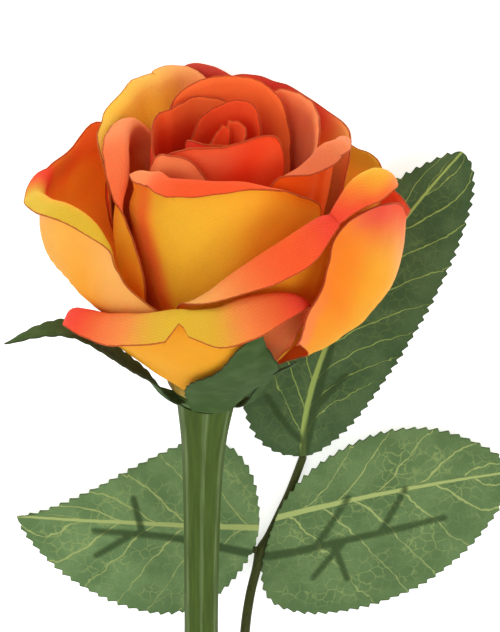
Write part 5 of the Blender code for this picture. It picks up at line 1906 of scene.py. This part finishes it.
@dataclass(frozen=True)
class LeafStalk:
    """The leaf stalk, its ribs and the three leaflets that they carry.

    start and end are its radius at foot and tip, and swells gives the (point, length, extra radius) of
    its thicker places. A rib lies half a solid leaflet, a gap and a little to spare below the leaflet's
    middle. All are in mm.
    """

    stalk: tuple = (STALK_FOOT, (5.6, -93.2, 15.8), (6.6, -88.5, 15.5), (7.2, -79, 14.2), (8.0, -65, 9.6),
                    (9.0, -58.4, 6.0), (10.2, -54.0, 3.4), STALK_FORK, (15.0, -41.1, 2.0),
                    (17.45, -35.2, 2.0), STALK_TIP)
    start: float = 1.2
    end: float = 0.85
    half_leaf: float = 0.32
    gap: float = 0.3
    spare: float = 0.15
    swells: tuple = ((STALK_FORK, 2.2, 0.55), (STALK_FOOT, 3.0, 0.35))
    ribs: tuple[Rib, ...] = (
        Rib("leaflet_left", ((0.19, -0.3), (0.4, -0.15), (0.59, -0.13), (0.72, -0.14)),
            0.8, 0.45, STALK_FORK),
        Rib("leaflet_left", ((0.53, -0.12), (0.57, 0.46))),
        Rib("leaflet_left", ((0.58, -0.15), (0.71, -0.48))),
        Rib("leaflet_right", ((0.05, 0.47), (0.265, 0.355), (0.44, 0.37), (0.7, 0.433)),
            0.8, 0.45, STALK_FORK),
        Rib("leaflet_right", ((0.18, 0.345), (0.32, -0.06))),
        Rib("leaflet_right", ((0.43, 0.363), (0.56, 0.0))),
        Rib("leaflet_right", ((0.24, 0.365), (0.277, 0.71))),
        Rib("leaflet_right", ((0.27, 0.385), (0.165, 0.66))),
        Rib("leaflet_top", ((0.0, 0.03), (0.185, 0.12), (0.305, 0.1), (0.42, 0.06)),
            0.8, 0.45, STALK_TIP),
        Rib("leaflet_top", ((0.05, 0.09), (0.107, -0.29), (0.2, -0.64))),
        Rib("leaflet_top", ((0.185, 0.12), (0.335, 0.43))),
    )

    def rib_line(self, leaf: Leaflet, rib: Rib) -> np.ndarray:
        """Lay a rib just under its leaflet.

        Args:
            leaf: The leaflet.
            rib: The rib.

        Returns:
            Its run, as (x, y, height, radius) in lying mm.
        """
        share, side = (np.array(v, float) for v in zip(*rib.run))
        ahead = leaf.point(share + 0.01, side) - leaf.point(share - 0.01, side)
        beside = leaf.point(share, side + 0.02) - leaf.point(share, side - 0.02)
        normal = unit(np.cross(ahead, beside))
        normal *= np.where(normal[:, 2:] < 0, -1, 1)
        line = leaf.point(share, side) - normal * (self.half_leaf + self.gap + rib.start + self.spare)
        line[:, 2] = np.maximum(line[:, 2], rib.start)
        if rib.anchor:
            line = np.vstack([rib.anchor, line])
        line = through(line, 24)
        return np.column_stack([line, np.linspace(rib.start, rib.end, len(line))])

    def tube(self, line: np.ndarray, sides: int = 14) -> tuple[np.ndarray, list[tuple[int, ...]]]:
        """Run a round tube with domed ends along a line.

        Args:
            line: (x, y, height, radius) points, mm.
            sides: Number of sides.

        Returns:
            Its points and its faces.
        """
        centre, radius = line[:, :3], line[:, 3]
        along = unit(np.gradient(centre, axis=0))
        across = unit(np.cross(along, [0.0, 0.0, 1.0]))
        up = np.cross(across, along)
        angles = np.linspace(0, 2 * math.pi, sides, endpoint=False)
        dome = ((-0.9, 0.35), (-0.6, 0.75))
        rings = [(centre[0] + along[0] * back * radius[0], radius[0] * scale, 0) for back, scale in dome]
        rings += [(centre[k], radius[k], k) for k in range(len(centre))]
        rings += [(centre[-1] - along[-1] * back * radius[-1], radius[-1] * scale, -1)
                  for back, scale in dome[::-1]]
        points = [centre[0] - along[0] * radius[0]]
        for middle, r, k in rings:
            points += [middle + r * (math.cos(a) * across[k] + math.sin(a) * up[k]) for a in angles]
        points.append(centre[-1] + along[-1] * radius[-1])
        return np.array(points), ring_faces(len(rings), sides)

    def build(self) -> None:
        """Build the stalk with its ribs, and the leaflets over them."""
        leaves = {leaf.name: leaf for leaf in LEAFLETS}
        line = through(self.stalk, 90)
        swell = sum(np.exp(-((line[:, 1] - place[1]) / reach) ** 2) * extra
                    for place, reach, extra in self.swells)
        lines = [np.column_stack([line, np.linspace(self.start, self.end, len(line)) + swell])]
        shadowing_ribs: dict[str, list[np.ndarray]] = {leaf.name: [] for leaf in LEAFLETS}
        for rib in self.ribs:
            run = self.rib_line(leaves[rib.leaflet], rib)
            lines.append(run)
            # ribs whose shadow is painted on their leaflet
            shadowing_ribs[rib.leaflet].append(run)
        points, faces, count = [], [], 0
        for run in lines:
            more, ring = self.tube(run)
            points.append(more)
            faces += [tuple(c + count for c in face) for face in ring]
            count += len(more)
        every = np.vstack(points)
        every[:, 2] = np.maximum(every[:, 2], 0.0)
        surface = Surface("leaf_stalk", POSE.placed(every), faces)
        surface.numbers["ridge_highlight"] = np.zeros(len(every))
        surface.numbers["along"] = every
        plastic = MouldedPlastic("stalk_plastic", (0.045, 0.055, 0.012), (0.07, 0.09, 0.03), 0.42)
        surface.build(plastic.material(), "leaf_stalk", "stalk_plastic")
        for leaf in LEAFLETS:
            leaf.build(shadowing_ribs[leaf.name])


@dataclass(frozen=True)
class Studio:
    """The pale floor, the soft light and the camera that looks down on the lying rose, in metres."""

    aim: tuple[float, float, float] = (-0.01208, 0.0682, 0.0274)
    tilt: float = 23.1
    distance: float = 0.70
    lens: float = 199.4
    shift: tuple[float, float] = (0.068, 0.109)
    world: float = 0.78
    glow: float = 0.6
    lamps: tuple = (("key", (-0.45, 0.35, 1.05)), ("fill", (0.5, 0.0, 1.1)))
    lamp_size: float = 0.7
    lamp_power: float = 3.3

    def floor(self) -> None:
        """Lay the pale floor, which glows a little as a light table does, so that shadows stay faint."""
        mesh = bpy.data.meshes.new("floor")
        corners = ((-1, -1), (1, -1), (1, 1), (-1, 1))
        mesh.from_pydata([(3 * x, 3 * y, -0.0002) for x, y in corners], [], [(0, 1, 2, 3)])
        g = Graph("floor_paper")
        g.shader.inputs["Emission Color"].default_value = (1, 1, 1, 1)
        g.shader.inputs["Emission Strength"].default_value = self.glow
        mesh.materials.append(g.finish((0.9, 0.9, 0.9), 0.9, DULL_GLOSS))
        plane = bpy.data.objects.new("floor", mesh)
        bpy.context.scene.collection.objects.link(plane)

    def lamp(self, name: str, place: tuple[float, float, float]) -> None:
        """Hang a square soft lamp that faces the bloom.

        Args:
            name: Name of the lamp.
            place: Where it hangs, m.
        """
        light = bpy.data.lights.new(name, "AREA")
        light.size, light.energy = self.lamp_size, self.lamp_power
        holder = bpy.data.objects.new(name, light)
        holder.location = place
        holder.rotation_mode = "QUATERNION"
        holder.rotation_quaternion = turn_towards(np.array(self.aim) - np.array(place))
        bpy.context.scene.collection.objects.link(holder)

    def build(self) -> None:
        """Set up the floor, world, lamps and camera."""
        scene = bpy.context.scene
        self.floor()
        world = bpy.data.worlds.new("studio")
        world.use_nodes = True
        sky = world.node_tree.nodes["Background"].inputs
        sky["Color"].default_value = (1.0, 1.0, 1.0, 1)
        sky["Strength"].default_value = self.world
        scene.world = world
        scene.view_settings.view_transform = "Standard"
        for name, place in self.lamps:
            self.lamp(name, place)
        camera = bpy.data.cameras.new("camera")
        camera.lens, camera.sensor_width = self.lens, 36.0
        camera.shift_x, camera.shift_y = self.shift
        camera.clip_start = 0.05
        holder = bpy.data.objects.new("camera", camera)
        t = math.radians(self.tilt)
        back = np.array([0.0, math.sin(t), math.cos(t)])
        holder.location = tuple(np.array(self.aim) + back * self.distance)
        holder.rotation_euler = (-t, 0.0, 0.0)
        scene.collection.objects.link(holder)
        scene.camera = holder


def turn_towards(aim: np.ndarray) -> tuple[float, ...]:
    """Find the turn that points a lamp along a direction.

    Args:
        aim: The direction.

    Returns:
        The turn as a quaternion.
    """
    ahead, down = unit(np.asarray(aim, float)), [0.0, 0.0, -1.0]
    turn = np.array([1.0 + float(np.dot(down, ahead)), *np.cross(down, ahead)])
    return tuple(turn / np.linalg.norm(turn))


def write_sizes() -> None:
    """Update the view layer; no box is measured or written."""
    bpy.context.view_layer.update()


def main() -> None:
    """Build every part of the rose, then the studio."""
    logging.basicConfig(level=logging.INFO, format="%(name)s: %(message)s")
    Stem().build()
    LeafStalk().build()
    Calyx().build()
    Bloom().build()
    Studio().build()
    write_sizes()


if __name__ == "__main__":
    main()
